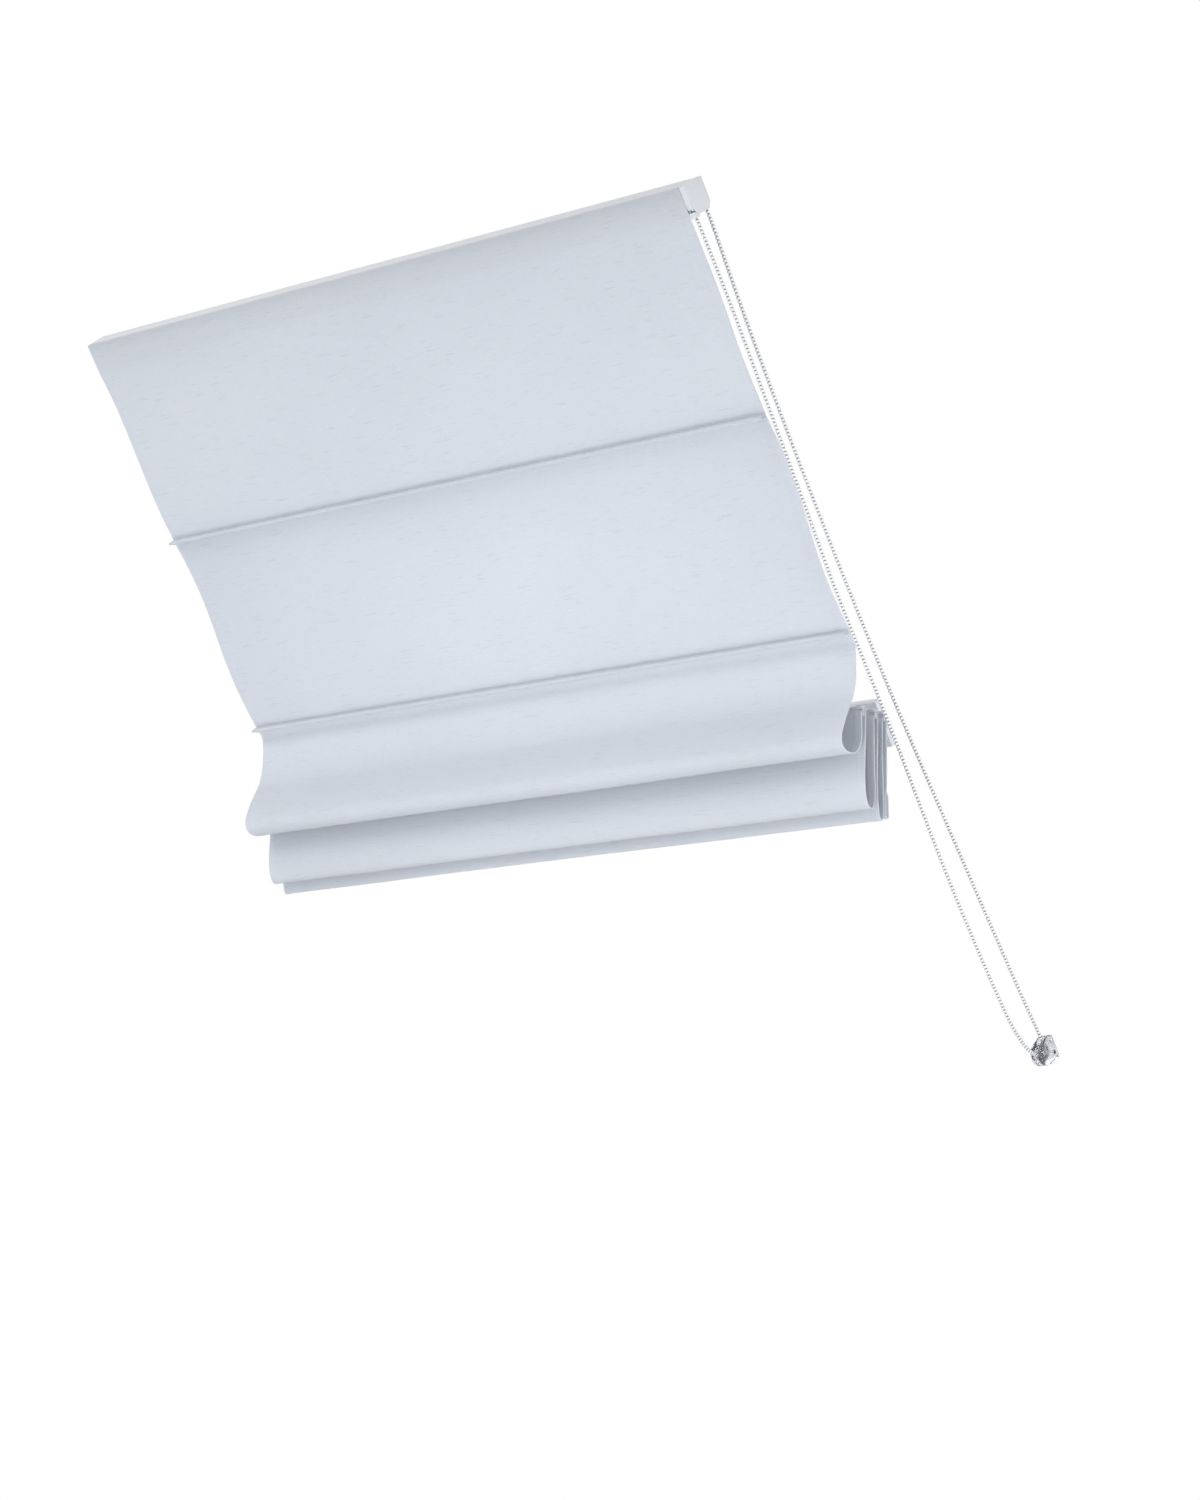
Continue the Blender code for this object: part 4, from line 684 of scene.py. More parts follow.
def cloth_piece(name, line, stretches):
    """A thin closed shell over some stretches, with a swollen hem at each side."""
    first, last = line.span(stretches)
    columns = across()
    verts, coords = [], []
    for i in range(first, last + 1):
        s = line.along[i]
        here = (s, line.freedom(s), line.points[i], line.normals[i], line.pinches[i])
        for side in (1, -1):
            row = [(x, side * half_thickness(x)) for x in columns[::side]] + [(side * HALF_WIDTH, 0)]
            verts += [placed(x, *here, stand) for x, stand in row]
            coords += [(x, s) for x, stand in row]
    count, rows = len(columns), last - first + 1
    ring = 2 * (count + 1)
    faces = shell(rows, ring, capped=False)
    end = [(j, j + 1, 2 * count - j - 1, 2 * count - j) for j in range(count - 1)]
    end += [(count - 1, count, count + 1), (2 * count, 2 * count + 1, 0)]
    for base, turn in ((0, -1), ((rows - 1) * ring, 1)):
        faces += [tuple(base + k for k in face)[::turn] for face in end]
    return new_mesh(name, verts, faces, coords)


def on_cloth(line, x, s, side, lift):
    """The point lift above one face of the cloth, at x across and s along it."""
    i = min(max(bisect.bisect_right(line.along, s) - 1, 0), len(line.along) - 2)
    t = (s - line.along[i]) / (line.along[i + 1] - line.along[i])
    runs = (line.points, line.normals, line.pinches)
    here = [Vector(run[i]).lerp(Vector(run[i + 1]), t) for run in runs]
    return Vector(placed(x, s, line.freedom(s), *here, side * (half_thickness(x) + lift)))


def seam_rows(line, stretches):
    """A piece's rows of stitching: start, end and face, each end as (across, along)."""
    low, high = (line.along[i] for i in line.span(stretches))
    seam = HALF_WIDTH - HEM_WIDTH + SEAM_INSET
    cuts = [low] + [s for pair in line.still_along for s in pair if low < s < high] + [high]
    for start, end in zip(cuts, cuts[1:]):
        inside = any(a <= (start + end) / 2 <= b for a, b in line.still_along)
        for face in (1,) if inside else (1, -1):
            for x in (-seam, seam):
                yield (x, start), (x, end), face * line.room
    for name in ("tuck_1", "tuck_2"):
        a, b = (line.along[i] for i in line.stretches[name])
        if low <= a and b <= high:
            reach = FOLD_TURN_RADIUS * pi / 2 + TUCK_SEAM
            for s in (a + reach, b - reach):
                yield (-seam, s), (seam, s), line.room
    if stretches[-1] == "flap":
        for s in (line.hem_front, high - SEAM_INSET):
            yield (-seam, s), (seam, s), line.room


def stitches(name, line, stretches):
    """Short raised threads, end to end along each seam."""
    verts, faces = [], []
    for start, end, face in seam_rows(line, stretches):
        run = dist(start, end)
        for k in range(int(run / STITCH_PITCH)):
            middle = (k + 0.5) * STITCH_PITCH
            shares = [(middle + part * STITCH_LENGTH / 2) / run for part in (-1, 0, 1)]
            spots = [[a + (b - a) * share for a, b in zip(start, end)] for share in shares]
            lifts = (0, STITCH_LIFT, 0)
            spine = [on_cloth(line, *spot, face, lift) for spot, lift in zip(spots, lifts)]
            foot, above = (on_cloth(line, *spots[1], face, lift) for lift in (0, 0.001))
            up = (above - foot).normalized()
            side = up.cross(spine[2] - spine[0]).normalized()
            faces += shell(3, 4, len(verts))
            for centre, width in zip(spine, (STITCH_TIP, 1.0, STITCH_TIP)):
                verts += [centre + out * STITCH_HALF * width for out in (side, up, -side, -up)]
    piece = new_mesh(f"{name}_stitches", verts, faces)
    return finish_in(piece, "white_cord", "thread")


def spokes(forward, count):
    """Directions at equal steps round forward, the first as near to +X as it can be."""
    side = Vector((1, 0, 0))
    side = (side - forward * side.dot(forward)).normalized()
    up = forward.cross(side)
    return [side * cos(angle) + up * sin(angle) for angle in turns(count)]


def tube_piece(name, points, radius, sides=10, closed=False):
    """A round cord along the points."""
    path = [Vector(p) for p in points]
    count = len(path)
    verts, coords = [], []
    for i, (point, run) in enumerate(zip(path, lengths(path))):
        after = path[(i + 1) % count] if closed or i + 1 < count else point
        before = path[i - 1] if closed or i else point
        for k, out in enumerate(spokes((after - before).normalized(), sides)):
            verts.append(point + out * radius)
            coords.append((k / sides, run))
    return new_mesh(name, verts, shell(count, sides, closed=closed), coords)


def joined(name, parts):
    """One object from several, with their points and faces as they are."""
    verts, faces, coords = [], [], []
    for part in parts:
        base, mesh = len(verts), part.data
        verts += [v.co.copy() for v in mesh.vertices]
        faces += [tuple(base + i for i in polygon.vertices) for polygon in mesh.polygons]
        coords += [tuple(item.vector)[:2] for item in mesh.attributes["weave"].data]
        bpy.data.objects.remove(part)
        bpy.data.meshes.remove(mesh)
    return new_mesh(name, verts, faces, coords)


def resampled(points, step):
    """The same route with points at about equal steps."""
    path = [Vector(p) for p in points]
    result = [path[0]]
    for before, after in zip(path, path[1:]):
        count = max(1, round((after - before).length / step))
        result += [before.lerp(after, k / count) for k in range(1, count + 1)]
    return result


def rounded_copy(node, width):
    """A copy of a hard piece with its sharp edges rounded a little."""
    mesh = node.data.copy()
    shape = bmesh.new()
    shape.from_mesh(mesh)
    bmesh.ops.remove_doubles(shape, verts=shape.verts, dist=0.00001)
    flat = radians(1)
    bmesh.ops.dissolve_limit(shape, angle_limit=flat, verts=shape.verts, edges=shape.edges)
    paired = [e for e in shape.edges if len(e.link_faces) == 2]
    sharp = [e for e in paired if e.calc_face_angle() > SHARP_EDGE]
    bevel = {"segments": 2, "profile": 0.5, "affect": "EDGES", "clamp_overlap": True}
    bmesh.ops.bevel(shape, geom=sharp, offset=width, **bevel)
    shape.to_mesh(mesh)
    shape.free()
    mesh.shade_smooth()
    mesh.set_sharp_from_angle(angle=SHARP_LOOK)
    return in_scene(f"{node.name}_rounded", mesh)


# Materials


def shader_of(made):
    return made.node_tree.nodes["Principled BSDF"]


def material(name, colour, roughness, metallic=0.0, more=()):
    """A Principled material whose even values sit on the shader itself."""
    made = bpy.data.materials.new(name)
    made.use_nodes = True
    even = [("Base Color", (*colour, 1)), ("Roughness", roughness), ("Metallic", metallic)]
    for socket, value in (*even, *more):
        shader_of(made).inputs[socket].default_value = value
    return made


def add(made, kind, **settings):
    """A node with settings by name and input values by number or name."""
    node = made.node_tree.nodes.new("ShaderNode" + kind)
    for key, value in settings.items():
        if key.startswith("in_"):
            key = key[3:]
            socket = int(key) if key.isdigit() else key.replace("_", " ").title()
            node.inputs[socket].default_value = value
        else:
            setattr(node, key, value)
    return node


def link(made, source, target, source_socket=0, target_socket=0):
    made.node_tree.links.new(source.outputs[source_socket], target.inputs[target_socket])


def place_on(made, stretch):
    """The weave's own coordinates scaled by a pair, or the object's by one number."""
    if isinstance(stretch, tuple):
        source, output, scale = add(made, "Attribute", attribute_name="weave"), "Vector", (*stretch, 1)
    else:
        source, output, scale = add(made, "TexCoord"), "Object", (stretch,) * 3
    mapping = add(made, "Mapping", in_scale=scale)
    link(made, source, mapping, output, "Vector")
    return mapping


def noise_on(made, stretch, detail=2.0):
    """Noise over the coordinates of place_on."""
    grain = add(made, "TexNoise", in_scale=1.0, in_detail=detail)
    link(made, place_on(made, stretch), grain, 0, "Vector")
    return grain


def bands_on(made, direction, stretch):
    """Even bands over the coordinates of place_on."""
    wave = add(made, "TexWave", bands_direction=direction, in_scale=1.0)
    link(made, place_on(made, stretch), wave, 0, "Vector")
    return wave


def ramp(made, source, stops, socket="Fac"):
    """Colours or greys by the source's value."""
    node = add(made, "ValToRGB")
    elements = node.color_ramp.elements
    while len(elements) < len(stops):
        elements.new(0.5)
    for element, (position, colour) in zip(elements, stops):
        element.position = position
        element.color = (*colour, 1) if hasattr(colour, "__len__") else (colour, colour, colour, 1)
    link(made, source, node, socket, "Fac")
    return node


def product(made, first, *others):
    """The colours multiplied with each other, as the shader's own."""
    socket = 0
    for other in others:
        node = add(made, "Mix", data_type="RGBA", blend_type="MULTIPLY", in_0=1.0)
        link(made, first, node, socket, 6)
        link(made, other, node, 0, 7)
        first, socket = node, 2
    link(made, first, shader_of(made), socket, "Base Color")


def mixed_in(made, other, share):
    """Mix another shader into the material's, by a number or a node."""
    both = add(made, "MixShader")
    if isinstance(share, float):
        both.inputs[0].default_value = share
    else:
        link(made, share, both)
    link(made, shader_of(made), both, 0, 1)
    link(made, other, both, 0, 2)
    link(made, both, made.node_tree.nodes["Material Output"], 0, "Surface")


def let_through(made, colour, share):
    """Let a share of the light through, tinted by a node's colour."""
    through = add(made, "BsdfTranslucent")
    link(made, colour, through, 0, "Color")
    mixed_in(made, through, share)


def bump_from(made, sources, distance):
    """One bump for each (source, strength), the first the deepest."""
    before = None
    for source, strength in sources:
        node = add(made, "Bump", in_strength=strength, in_distance=distance)
        link(made, source, node, "Fac", "Height")
        if before:
            link(made, before, node, 0, "Normal")
        before = node
    link(made, before, shader_of(made), 0, "Normal")


def linen():
    """A plain weave with slubs: short thick threads, most of them across the width."""
    sheen = [("Sheen Weight", 0.18), ("Sheen Roughness", 0.45)]
    made = material("linen", (0.76, 0.8, 0.86), 0.88, more=sheen)
    shades = [(0.3, (0.735, 0.772, 0.83)), (0.55, (0.762, 0.8, 0.858))]
    shades.append((0.75, (0.79, 0.825, 0.88)))
    slubs = noise_on(made, SLUB_STRETCH, 1.0)
    product(
        made,
        ramp(made, noise_on(made, (2.2, 3.4), 3.0), shades),
        ramp(made, noise_on(made, (130.0, 1900.0)), [(0.25, 0.955), (0.75, 1.03)]),
        ramp(made, noise_on(made, (1900.0, 150.0)), [(0.25, 0.965), (0.75, 1.02)]),
        ramp(made, slubs, [(0.65, 1.0), (0.71, 0.92)]),
        ramp(made, noise_on(made, (44.0, 620.0), 1.0), [(0.64, 1.0), (0.72, 1.05)]),
        ramp(made, noise_on(made, (620.0, 46.0), 1.0), [(0.7, 1.0), (0.76, 0.92)]),
    )
    glow = ramp(made, slubs, [(0.66, (0.88, 0.895, 0.92)), (0.72, (0.76, 0.775, 0.8))])
    let_through(made, glow, LINEN_THROUGH)
    weft = bands_on(made, "Y", (1.0, THREADS))
    warp = bands_on(made, "X", (THREADS, 1.0))
    bump_from(made, [(weft, 0.12), (warp, 0.12), (slubs, 0.3)], 0.0003)
    return made


def lacquer(name, colour, roughness, grain=0.0004):
    """Sprayed lacquer: a faint orange peel and a roughness that varies a little."""
    made = material(name, colour, roughness)
    bump_from(made, [(noise_on(made, 900.0), 0.03)], grain)
    darker = tuple(c * 0.975 for c in colour)
    product(made, ramp(made, noise_on(made, 30.0, 3.0), [(0.3, darker), (0.7, colour)]))
    rough = add(made, "MapRange", in_to_min=roughness - 0.05, in_to_max=roughness + 0.06)
    link(made, noise_on(made, 60.0, 3.0), rough, "Fac", "Value")
    link(made, rough, shader_of(made), 0, "Roughness")
    return made


def beading():
    """Pearly plastic beads, with painted shade towards the holes, where one bead meets the next."""
    tint = [("Specular Tint", (0.2, 0.2, 0.21, 1))]
    made = material("bead_plastic", (0.8, 0.81, 0.82), 0.3, 0.3, tint)
    ends = add(made, "SeparateXYZ")
    link(made, add(made, "Attribute", attribute_name="weave"), ends, "Vector", "Vector")
    # Painted shade: the colour darkens towards each bead's holes, where the beads meet and shade falls between them.
    painted_bead_gap_shade = ramp(made, ends, [(0.5, (0.84, 0.85, 0.86)), (0.88, (0.4, 0.41, 0.43))], "Y")
    product(made, painted_bead_gap_shade, ramp(made, noise_on(made, 300.0), [(0.3, 0.94), (0.7, 1.0)]))
    return made


def tape():
    """Thin woven tape that lets light through."""
    made = material("woven_tape", (0.82, 0.84, 0.87), 0.85, more=[("Sheen Weight", 0.15)])
    rib = bands_on(made, "X", (260.0, 1.0))
    bump_from(made, [(rib, 0.4)], 0.0002)
    glow = ramp(made, rib, [(0.2, (0.93, 0.94, 0.95)), (0.8, (0.98, 0.98, 0.99))])
    let_through(made, glow, TAPE_THROUGH)
    return made


def braid(name, colour):
    """Braided cord: two sets of strands that cross on the slant, with painted shade in the grooves between the strands
    of one set.
    """
    made = material(name, colour, 0.75, more=[("Sheen Weight", 0.2)])
    strands = [bands_on(made, "DIAGONAL", (lean * 0.9, 240.0)) for lean in (1.0, -1.0)]
    # Painted shade: darker in the bands' low grooves, where the bump sinks between strands.
    darker = tuple(c * 0.85 for c in colour)
    product(made, ramp(made, strands[0], [(0.2, darker), (0.7, colour)]))
    bump_from(made, [(strand, 0.6) for strand in strands], 0.0002)
    return made


CLEAR = [("IOR", 1.49), ("Transmission Weight", 0.95)]
# The looks of the part's slots, and of a few pieces that differ from their slot's
LOOKS = {
    "white_linen": linen(),
    "white_lacquered_metal": lacquer("white_lacquer", (0.72, 0.74, 0.77), 0.42),
    "white_plastic": lacquer("white_moulding", (0.74, 0.77, 0.81), 0.38, 0.0002),
    "white_cord": braid("braided_cord", (0.78, 0.79, 0.8)),
    "glass_fibre_rod": lacquer("fibre_rod", (0.45, 0.46, 0.48), 0.5, 0.0002),
    "bar_aluminium": lacquer("coated_alloy", (0.75, 0.76, 0.78), 0.4),
    "bright_steel": material("polished_steel", (0.42, 0.43, 0.46), 0.22, 1.0),
    "clear_plastic": material("clear_case", (0.83, 0.84, 0.87), 0.05, more=CLEAR),
    "bead": beading(),
    "tape": tape(),
    "thread": lacquer("sewing_thread", (0.8, 0.83, 0.88), 0.6, 0.0001),
    # Near black as a painted dark reflection for the bright steel screw
    "dark_steel": lacquer("blackened_steel", (0.05, 0.05, 0.055), 0.35, 0.0001),
}


def dress(obj, look):
    obj.data.materials.clear()
    obj.data.materials.append(LOOKS[look])


def finish_in(obj, slot, look=None):
    """The piece in a slot, with the slot's look unless another is named."""
    dress(obj, look or slot)
    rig.slot(obj, slot)
    return obj


# The CAD frame and its own pieces

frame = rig.load()
cad_low, cad_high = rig.bounds()
nodes = frame["nodes"]

SLOT_OF = {name: node.data.materials[0].name.split(".")[0] for name, node in nodes.items()}
for name, node in nodes.items():
    dress(node, SLOT_OF[name])

# The cloth

line = cloth_line()


def sew(name, stretches, motion, hold, replaced=None, rests=(), seams=None):
    """A piece of the cloth with its stitching, its motion and the flat cloth it was cut from."""
    piece = finish_in(cloth_piece(name, line, stretches), "white_linen")
    sewn = stitches(seams or name, line, stretches)
    for part in (piece, sewn):
        if len(motion) == 1:
            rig.ride(part, *motion)
        else:
            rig.blend(part, *motion)
    if replaced:
        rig.replaces(piece, replaced)
    low, high = (line.along[i] for i in line.span(stretches))
    flat = (FABRIC_WIDTH, round(high - low, 4))
    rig.sheet(piece, flat=flat, held=hold, rests_on=list(rests), with_pieces=[sewn])


def heights(top, bottom, share):
    """Start and end of a blend that reaches its share at bottom, below the folds' root."""
    return [Vector((0, FOLD_Y, FOLD_Z - top - run)) for run in (0, (bottom - top) / share)]


rests = ["headrail", "batten_1", "batten_2"]
upper = ("fabric_upper_sheet", ("panel_1", "tuck_2"))
sew(*upper, ("frame",), "stretched", "fabric_upper", rests, seams="fabric_upper")

for name, above, below, top, bottom, share, replaced in (
    ("loop_1", "frame", "fold_3", 0.0, LOOP_1_BOTTOM, LOOP_1_SHARE, "fabric_panel_3"),
    ("loop_2", "fold_3", "fold_4", SHOULDER, LOOP_2_BOTTOM, 0.5, None),
    ("loop_3", "fold_4", "fold_5", SHOULDER, LOOP_3_BOTTOM, 0.5, None),
):
    down = (above, below, *heights(top, bottom, share))
    sew(f"fabric_{name}_front", (f"{name}_front",), down, "gathered", replaced)
    up = (above, below, *heights(SHOULDER, bottom, 1 - share)[::-1])
    sew(f"fabric_{name}_back", (f"{name}_back",), up, "gathered")

for number, stretches, replaced in (
    (3, ("tuck_3",), "fabric_panel_4"),
    (4, ("tuck_4",), "fabric_panel_5"),
    (5, ("tuck_5", "flap"), "fabric_bottom_flap"),
):
    name = "fabric_" + "_and_".join(stretches)
    sew(name, stretches, (f"fold_{number}",), "hung", replaced, [f"batten_{number}"])


# Ring tapes, rings and lift cords


def tape_mesh(name, low, high, place):
    """A woven tape with rounded selvedges between two corners of the frame that place maps."""
    half = HALF_WIDTH - BATTEN_INSET
    (y0, z0), (y1, z1) = low, high
    flat = z1 - z0 > y1 - y0
    thin, long = sorted(((z1 - z0) / 2, (y1 - y0) / 2))
    middle = Vector(((y0 + y1) / 2, (z0 + z1) / 2))
    rim = arc((long - thin, 0), thin, -90, 90, 4) + arc((thin - long, 0), thin, 90, 270, 4)
    verts, coords = [], []
    for i in range(TAPE_COLUMNS + 1):
        x = -half + 2 * half * i / TAPE_COLUMNS
        for a, b in rim:
            wave = TAPE_WAVE * noise.noise(Vector((30.0 * x, 40.0 * a, 1.3)))
            offset, lift = ((b, a), (wave, 0)) if flat else ((a, b), (0, wave))
            spot = middle + Vector(offset) + Vector(lift)
            verts.append((x, *place(spot.x, spot.y)))
            coords.append((x, a))
    return new_mesh(name, verts, shell(TAPE_COLUMNS + 1, len(rim)), coords)


def sewn_ring(name, x, y, z, axis, place):
    """A smooth ring with a whipping of thread where it is sewn to its tape."""

    def spot(angle, out=0.0, lift=0.0):
        reach = RING_RADIUS + out
        aside, level = reach * sin(angle), reach * cos(angle)
        return (x + aside, *(place(y - level, z + lift) if axis == "z" else place(y + lift, z - level)))

    points = [spot(angle) for angle in turns(RING_SIDES)]
    parts = [tube_piece(name, points, RING_WIRE, WIRE_SIDES, closed=True)]
    wrap = RING_WIRE + WHIP_RADIUS
    for k in range(WHIP_TURNS):
        angle = WHIP_STEP * (k - (WHIP_TURNS - 1) / 2)
        loop = [spot(angle, -wrap * cos(a), wrap * sin(a)) for a in turns(WHIP_SIDES)]
        parts.append(tube_piece(name, loop, WHIP_RADIUS, 6, closed=True))
    return parts


def ring_tapes():
    """Each tape's number, body and corners, and its rings' place, axis and frame."""
    reach = RING_RADIUS + RING_WIRE - RING_SINK
    back = -STANDOFF + HALF_CLOTH + FIT_GAP
    level = -STACK_TOP + HALF_CLOTH + FIT_GAP
    for number, drop in ((1, TUCK_1_DROP), (2, TUCK_2_DROP)):
        root = RAIL_MIDDLE - drop + NECK_HALF
        corners = (back, root), (back + TAPE_THICKNESS, root + TAPE_HEIGHT)
        ring = (back + TAPE_THICKNESS + reach, root + TAPE_HEIGHT / 2, "z", slope_point)
        yield number, "frame", corners, ring
    for number, y_back in ((3, LOOP_1_BACK), (4, LOOP_2_BACK), (5, LOOP_3_BACK)):
        y = y_back + TUCK_WIDTH / 2
        corners = (y - TAPE_HEIGHT / 2, level), (y + TAPE_HEIGHT / 2, level + TAPE_THICKNESS)
        yield number, f"fold_{number}", corners, (y, level + TAPE_THICKNESS + reach, "y", fold_point)


for number, body, corners, ring in ring_tapes():
    name = f"ring_tape_{number}_sewn"
    parts = [tape_mesh(name, *corners, ring[-1])]
    for side, x in CORD_SIDES:
        parts += sewn_ring(name, x, *ring)
    piece = finish_in(joined(name, parts), "white_cord", "tape")
    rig.ride(piece, body)
    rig.replaces(piece, f"ring_tape_{number}")


def lift_cord(side, x):
    """The taut run from the spool through rings 1 and 2 to the eyelet."""
    rings = [RAIL_MIDDLE - drop + NECK_HALF + TAPE_HEIGHT / 2 for drop in (TUCK_1_DROP, TUCK_2_DROP)]
    under = EYELET_Z - EYELET_THICKNESS / 2 - FIT_GAP
    run = [(CORD_LEAVE_Y, z) for z in (0.001, -SPOOL_FLANGE_RADIUS)]
    run += [(CORD_Y, z) for z in rings]
    run += [(EYELET_Y, z) for z in (EYELET_Z + EYELET_THICKNESS, under)]
    points = resampled([(x, *slope_point(y, z)) for y, z in run], CORD_STEP)
    return tube_piece(f"lift_cord_{side}_braided", points, CORD_RADIUS)


def knot(name, centre):
    """A small overhand knot in the cord's end."""
    points = []
    for a in turns(KNOT_STEPS):
        offset = Vector((sin(a) + 2 * sin(2 * a), -sin(3 * a) * 0.9, cos(a) - 2 * cos(2 * a)))
        points.append(Vector(centre) + offset * KNOT_RADIUS / 2)
    return tube_piece(name, points, CORD_RADIUS * 0.8, 8, closed=True)


def cord_tail(side, x):
    """From the eyelet over to ring 3, then through rings 4 and 5 to the knot."""
    below = EYELET_Z - EYELET_THICKNESS / 2 - 2 * FIT_GAP
    bend = ((0, 0), (0, 1), (2, 2))
    under = [(EYELET_Y - a * CORD_RADIUS, below - b * CORD_RADIUS) for a, b in bend]
    under.append((EYELET_Y - EYELET_RADIUS, below - 2 * CORD_RADIUS))
    hole = RING_RADIUS - RING_WIRE - CORD_RADIUS - FIT_GAP
    level = -STACK_TOP + HALF_CLOTH + FIT_GAP + TAPE_THICKNESS + RING_RADIUS + RING_WIRE - RING_SINK
    first, second, last = (y + TUCK_WIDTH / 2 for y in (LOOP_1_BACK, LOOP_2_BACK, LOOP_3_BACK))
    start = slope_point(EYELET_Y - EYELET_RADIUS - 2 * CORD_RADIUS, below - CORD_RADIUS)
    over = [(last + TAIL_LEAD, level + hole - TAIL_SINK), (last, level + hole), (first, level + hole)]
    round_ring = arc((first - RING_WIRE - hole, level), hole, 90, 270, 14)
    out = [slope_point(y, z) for y, z in under]
    out += smooth([start] + hung(over), 6)
    out += hung(round_ring + [(first, level - hole)])
    runs = [("over", out, "frame", "fold_3", start[0], FOLD_Y + first + hole)]
    for number, near, far in ((3, first, second), (4, second, last)):
        path = [fold_point(y, level - hole) for y in (near, far)]
        name = f"ring_{number}_to_{number + 1}"
        runs.append((name, path, f"fold_{number}", f"fold_{number + 1}", FOLD_Y + near, FOLD_Y + far))
    pieces = []
    for name, path, above, beyond, *ends in runs:
        points = resampled([(x, *p) for p in path], TAIL_STEP)
        pieces.append(tube_piece(f"lift_cord_tail_{side}_{name}", points, CORD_RADIUS))
        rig.blend(pieces[-1], above, beyond, *(Vector((0, y, FOLD_Z - STACK_TOP)) for y in ends))
    pieces.append(knot(f"lift_cord_knot_{side}", (x, *fold_point(last + KNOT_PAST, level - hole))))
    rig.ride(pieces[-1], "fold_5")
    return pieces


for side, x in CORD_SIDES:
    cord = lift_cord(side, x)
    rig.ride(cord, "frame")
    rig.replaces(cord, f"lift_cord_{side}")
    tail = cord_tail(side, x)
    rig.replaces(tail[0], f"lift_cord_tail_{side}")
    for piece in [cord] + tail:
        finish_in(piece, "white_cord")

# The tensioner's screw


def lathe(name, profile, centre, sides=32, closed=False):
    """A turned piece about an axis along X, with an open or a closed profile."""
    verts = []
    for radius, along in ((a / 1000, b / 1000) for a, b in profile):
        for angle in turns(sides):
            at = (centre[1] + radius * cos(angle), centre[2] + radius * sin(angle))
            verts.append((centre[0] + along, *slope_point(*at)))
    faces = shell(len(profile), sides, closed=closed)
    return new_mesh(name, verts, [face[:1] + face[:0:-1] for face in faces])


def screw_head():
    """A bright steel cup washer and a bright steel screw whose head has a cross recess."""
    at = (
        TENSIONER_X + TENSIONER_WIDTH / 2 + FIT_GAP,
        -TENSIONER_SETBACK + TENSIONER_SCREW_BACK,
        RAIL_MIDDLE - TENSIONER_DROP - TENSIONER_SCREW_DROP,
    )
    washer = lathe("tensioner_screw_cup", CUP, at, closed=True)
    head = lathe("tensioner_screw_crossed", SCREW, at)
    shape = bmesh.new()
    for turn in (CROSS_TURN, CROSS_TURN + pi / 2):
        bar = bmesh.ops.create_cube(shape, size=1.0)["verts"]
        bmesh.ops.scale(shape, vec=CROSS_BAR, verts=bar)
        spin = Matrix.Rotation(turn + LEAN, 3, "X")
        bmesh.ops.rotate(shape, cent=(0, 0, 0), matrix=spin, verts=bar)
    middle = (at[0] + CROSS_LIFT, *slope_point(*at[1:]))
    bmesh.ops.translate(shape, vec=middle, verts=shape.verts)
    mesh = bpy.data.meshes.new("cross")
    shape.to_mesh(mesh)
    shape.free()
    tool = in_scene("cross", mesh)
    cut = head.modifiers.new("cross", "BOOLEAN")
    cut.operation, cut.solver, cut.object, cut.use_self = "DIFFERENCE", "EXACT", tool, True
    bpy.context.view_layer.update()
    graph = bpy.context.evaluated_depsgraph_get()
    mesh = bpy.data.meshes.new_from_object(head.evaluated_get(graph))
    head.modifiers.clear()
    head.data = mesh
    bpy.data.objects.remove(tool)
    mesh.shade_smooth()
    mesh.set_sharp_from_angle(angle=SCREW_LOOK)
    return washer, head


washer, head = screw_head()
# Both are bright steel: the washer's white is a painted bright reflection and the screw head's near black a painted
# dark reflection.
for piece, look in ((washer, "white_plastic"), (head, "dark_steel")):
    finish_in(piece, "bright_steel", look)
    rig.ride(piece, "frame")
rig.replaces(head, "tensioner_screw")

# Hard pieces with rounded edges

ROUNDED = ["headrail", "end_cap_left", "drive_housing", "drive_cover"]
ROUNDED += ["guide_bar", "guide_bar_end_left", "guide_bar_end_right"]
ROUNDED += [f"{kind}_{side}" for kind in ("cord_eyelet", "ceiling_bracket") for side, x in CORD_SIDES]
ROUNDED += ["tensioner_body", "tensioner_cover"]
for name in ROUNDED:
    piece = finish_in(rounded_copy(nodes[name], EDGE_ROUND), SLOT_OF[name])
    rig.ride(piece, "frame")
    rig.replaces(piece, name)

# The chain


def chain_x(drop):
    """X of the chain at a distance down the slope: it leans out to the tensioner."""
    share = (drop - RAIL_HEIGHT) / (TENSIONER_DROP - RAIL_HEIGHT)
    return CHAIN_X + (TENSIONER_X - CHAIN_X) * min(max(share, 0), 1)


def chain_route():
    """Down the back, round the wheel, up the front and round the sprocket."""
    middle = SHAFT_Y + STANDOFF
    wheel = STANDOFF - TENSIONER_SETBACK
    top, low = SPROCKET_PITCH_RADIUS, TENSIONER_PITCH_RADIUS
    back = [(RAIL_MIDDLE, middle + top), (0.06, middle + top - CHAIN_EASE), *CHAIN_BACK]
    route = smooth([*back, (TENSIONER_DROP, wheel + low)], 12)
    route += arc((TENSIONER_DROP, wheel), low, 90, WHEEL_LEAVE, 24)[1:]
    route += smooth([*CHAIN_FRONT, (RAIL_MIDDLE, middle - top)], 10)
    route += arc((RAIL_MIDDLE, middle), top, 270, 90, 24)[1:-1]
    return [Vector((chain_x(s), *slope_point(n - STANDOFF, RAIL_MIDDLE - s))) for s, n in route]


def evenly(points, count):
    """Points at equal distances round a closed route."""
    closed = points + [points[0]]
    run = lengths(closed)
    result = []
    for aim in (run[-1] * k / count for k in range(count)):
        i = bisect.bisect_left(run, aim, 1) - 1
        share = (aim - run[i]) / max(run[i + 1] - run[i], 1e-9)
        result.append(closed[i].lerp(closed[i + 1], share))
    return result


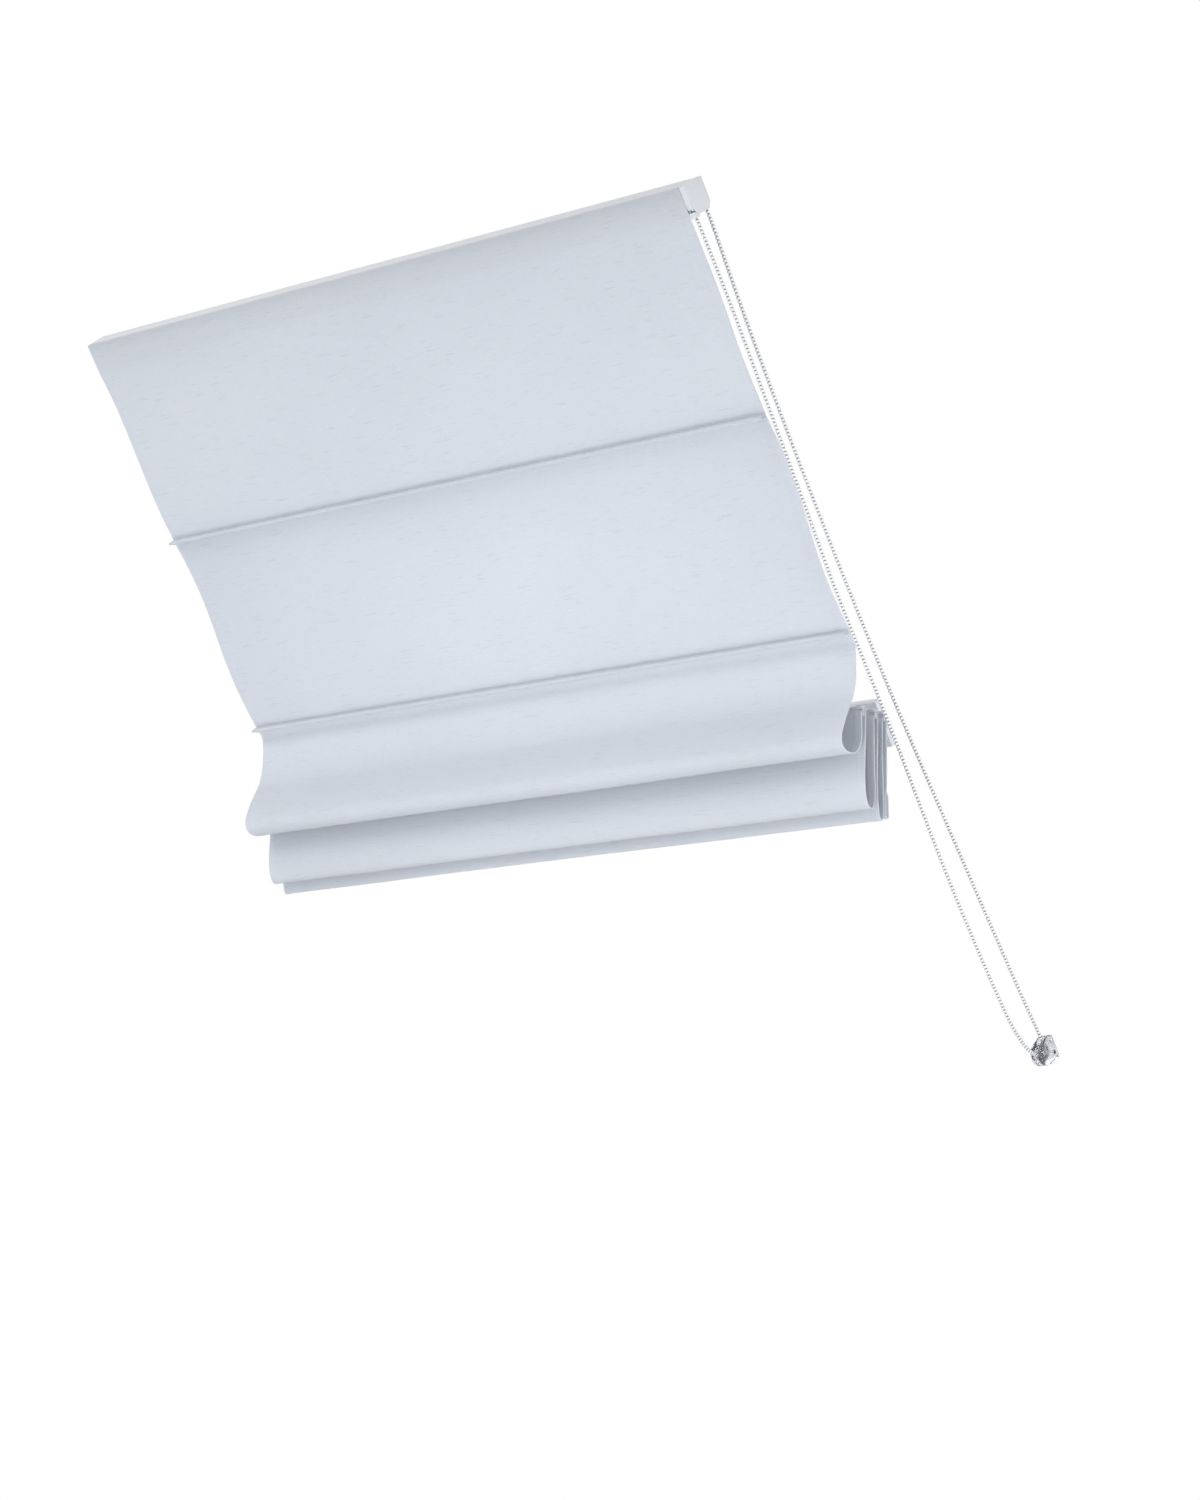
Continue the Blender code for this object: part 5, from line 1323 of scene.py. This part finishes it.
def beads(name, places, radius):
    """Round beads at the places, each with a flat at its two holes."""
    verts, faces, coords = [], [], []
    for n, place in enumerate(places):
        forward = (places[(n + 1) % len(places)] - places[n - 1]).normalized()
        outs = spokes(forward, BEAD_SEGMENTS)
        faces += shell(BEAD_RINGS, BEAD_SEGMENTS, len(verts))
        for i in range(BEAD_RINGS):
            tilt = pi * (BEAD_HOLE + (1 - 2 * BEAD_HOLE) * i / (BEAD_RINGS - 1))
            width = sin(tilt) ** BEAD_BARREL * radius
            for angle, out in zip(turns(BEAD_SEGMENTS), outs):
                verts.append(place + out * width - forward * cos(tilt) * BEAD_SQUASH * radius)
                # The second coordinate rises towards the holes; the bead material paints shade between the beads by
                # it.
                coords.append((angle, abs(cos(tilt))))
    return new_mesh(name, verts, faces, coords)


route = chain_route()
bead_count = round(lengths(route + route[:1])[-1] / BEAD_PITCH)
chain = beads("chain_beads", evenly(route, bead_count), BEAD_RADIUS)
thread = tube_piece("chain_thread", evenly(route, 2 * bead_count), THREAD_RADIUS, 6, closed=True)
for piece, look in ((chain, "bead"), (thread, "white_cord")):
    finish_in(piece, "white_plastic", look)
    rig.ride(piece, "frame")
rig.replaces(chain, "bead_chain")

# Stage, light and camera


def seen_directly(made):
    """1 for a camera, glossy or transmission ray and 0 for bounced light."""
    path = add(made, "LightPath")
    first, second = (add(made, "Math", operation="MAXIMUM") for k in range(2))
    link(made, path, first, "Is Camera Ray", 0)
    link(made, path, first, "Is Glossy Ray", 1)
    link(made, first, second, 0, 0)
    link(made, path, second, "Is Transmission Ray", 1)
    return second


def pale_floor():
    """A floor that looks nearly white from above and keeps a faint shadow."""
    made = material("pale_floor", (0.86, 0.87, 0.88), 0.9)
    glow = add(made, "Emission", in_color=(0.96, 0.965, 0.97, 1), in_strength=1.0)
    share = add(made, "Math", operation="MULTIPLY", in_1=FLOOR_GLOW)
    link(made, seen_directly(made), share)
    mixed_in(made, glow, share)
    return made


def aimed(obj, place, direction):
    """The object at a place, its -Z along the direction."""
    obj.location = place
    obj.rotation_euler = Vector(direction).to_track_quat("-Z", "Y").to_euler()
    return obj


def softbox(name, place, target, size, watts):
    """An even white area light; size is its width and height."""
    light = bpy.data.lights.new(name, "AREA")
    light.shape = "RECTANGLE"
    light.size, light.size_y = size
    light.energy = watts
    aimed(in_scene(name, light), place, Vector(target) - Vector(place)).visible_camera = False


signs = ((-1, -1), (1, -1), (1, 1), (-1, 1))
corners = [(x * FLOOR_HALF, y * FLOOR_HALF, FLOOR_LEVEL) for x, y in signs]
floor = new_mesh("floor", corners, [(0, 1, 2, 3)])
floor.data.materials.append(pale_floor())
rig.stage(floor)

# Soft light from all round, white background
world = bpy.data.worlds.new("studio")
bpy.context.scene.world = world
world.use_nodes = True
soft = world.node_tree.nodes["Background"]
soft.inputs["Color"].default_value = (0.97, 0.985, 1.0, 1)
soft.inputs["Strength"].default_value = WORLD_STRENGTH
white = add(world, "Background", in_color=(1, 1, 1, 1), in_strength=1.0)
blend = add(world, "MixShader")
for socket, node in enumerate((seen_directly(world), soft, white)):
    link(world, node, blend, 0, socket)
link(world, blend, world.node_tree.nodes["World Output"])

for lamp in LAMPS:
    softbox(*lamp)
behind, middle = (slope_point(y, RAIL_MIDDLE - WINDOW_DROP) for y in (WINDOW_SETBACK, 0))
softbox("window", (0, *behind), (0, *middle), *WINDOW_LAMP)

lens = bpy.data.cameras.new("camera")
lens.sensor_width = SENSOR
lens.lens = FOCAL_PIXELS / IMAGE_HEIGHT * SENSOR
lens.clip_start = 0.1
bpy.context.scene.camera = aimed(in_scene("camera", lens), CAMERA_PLACE, CAMERA_FORWARD)

bpy.context.scene.view_settings.view_transform = "Standard"

low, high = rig.bounds()
with open("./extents.json", "w") as file:
    json.dump({"cad": [list(cad_low), list(cad_high)], "visual": [list(low), list(high)]}, file)
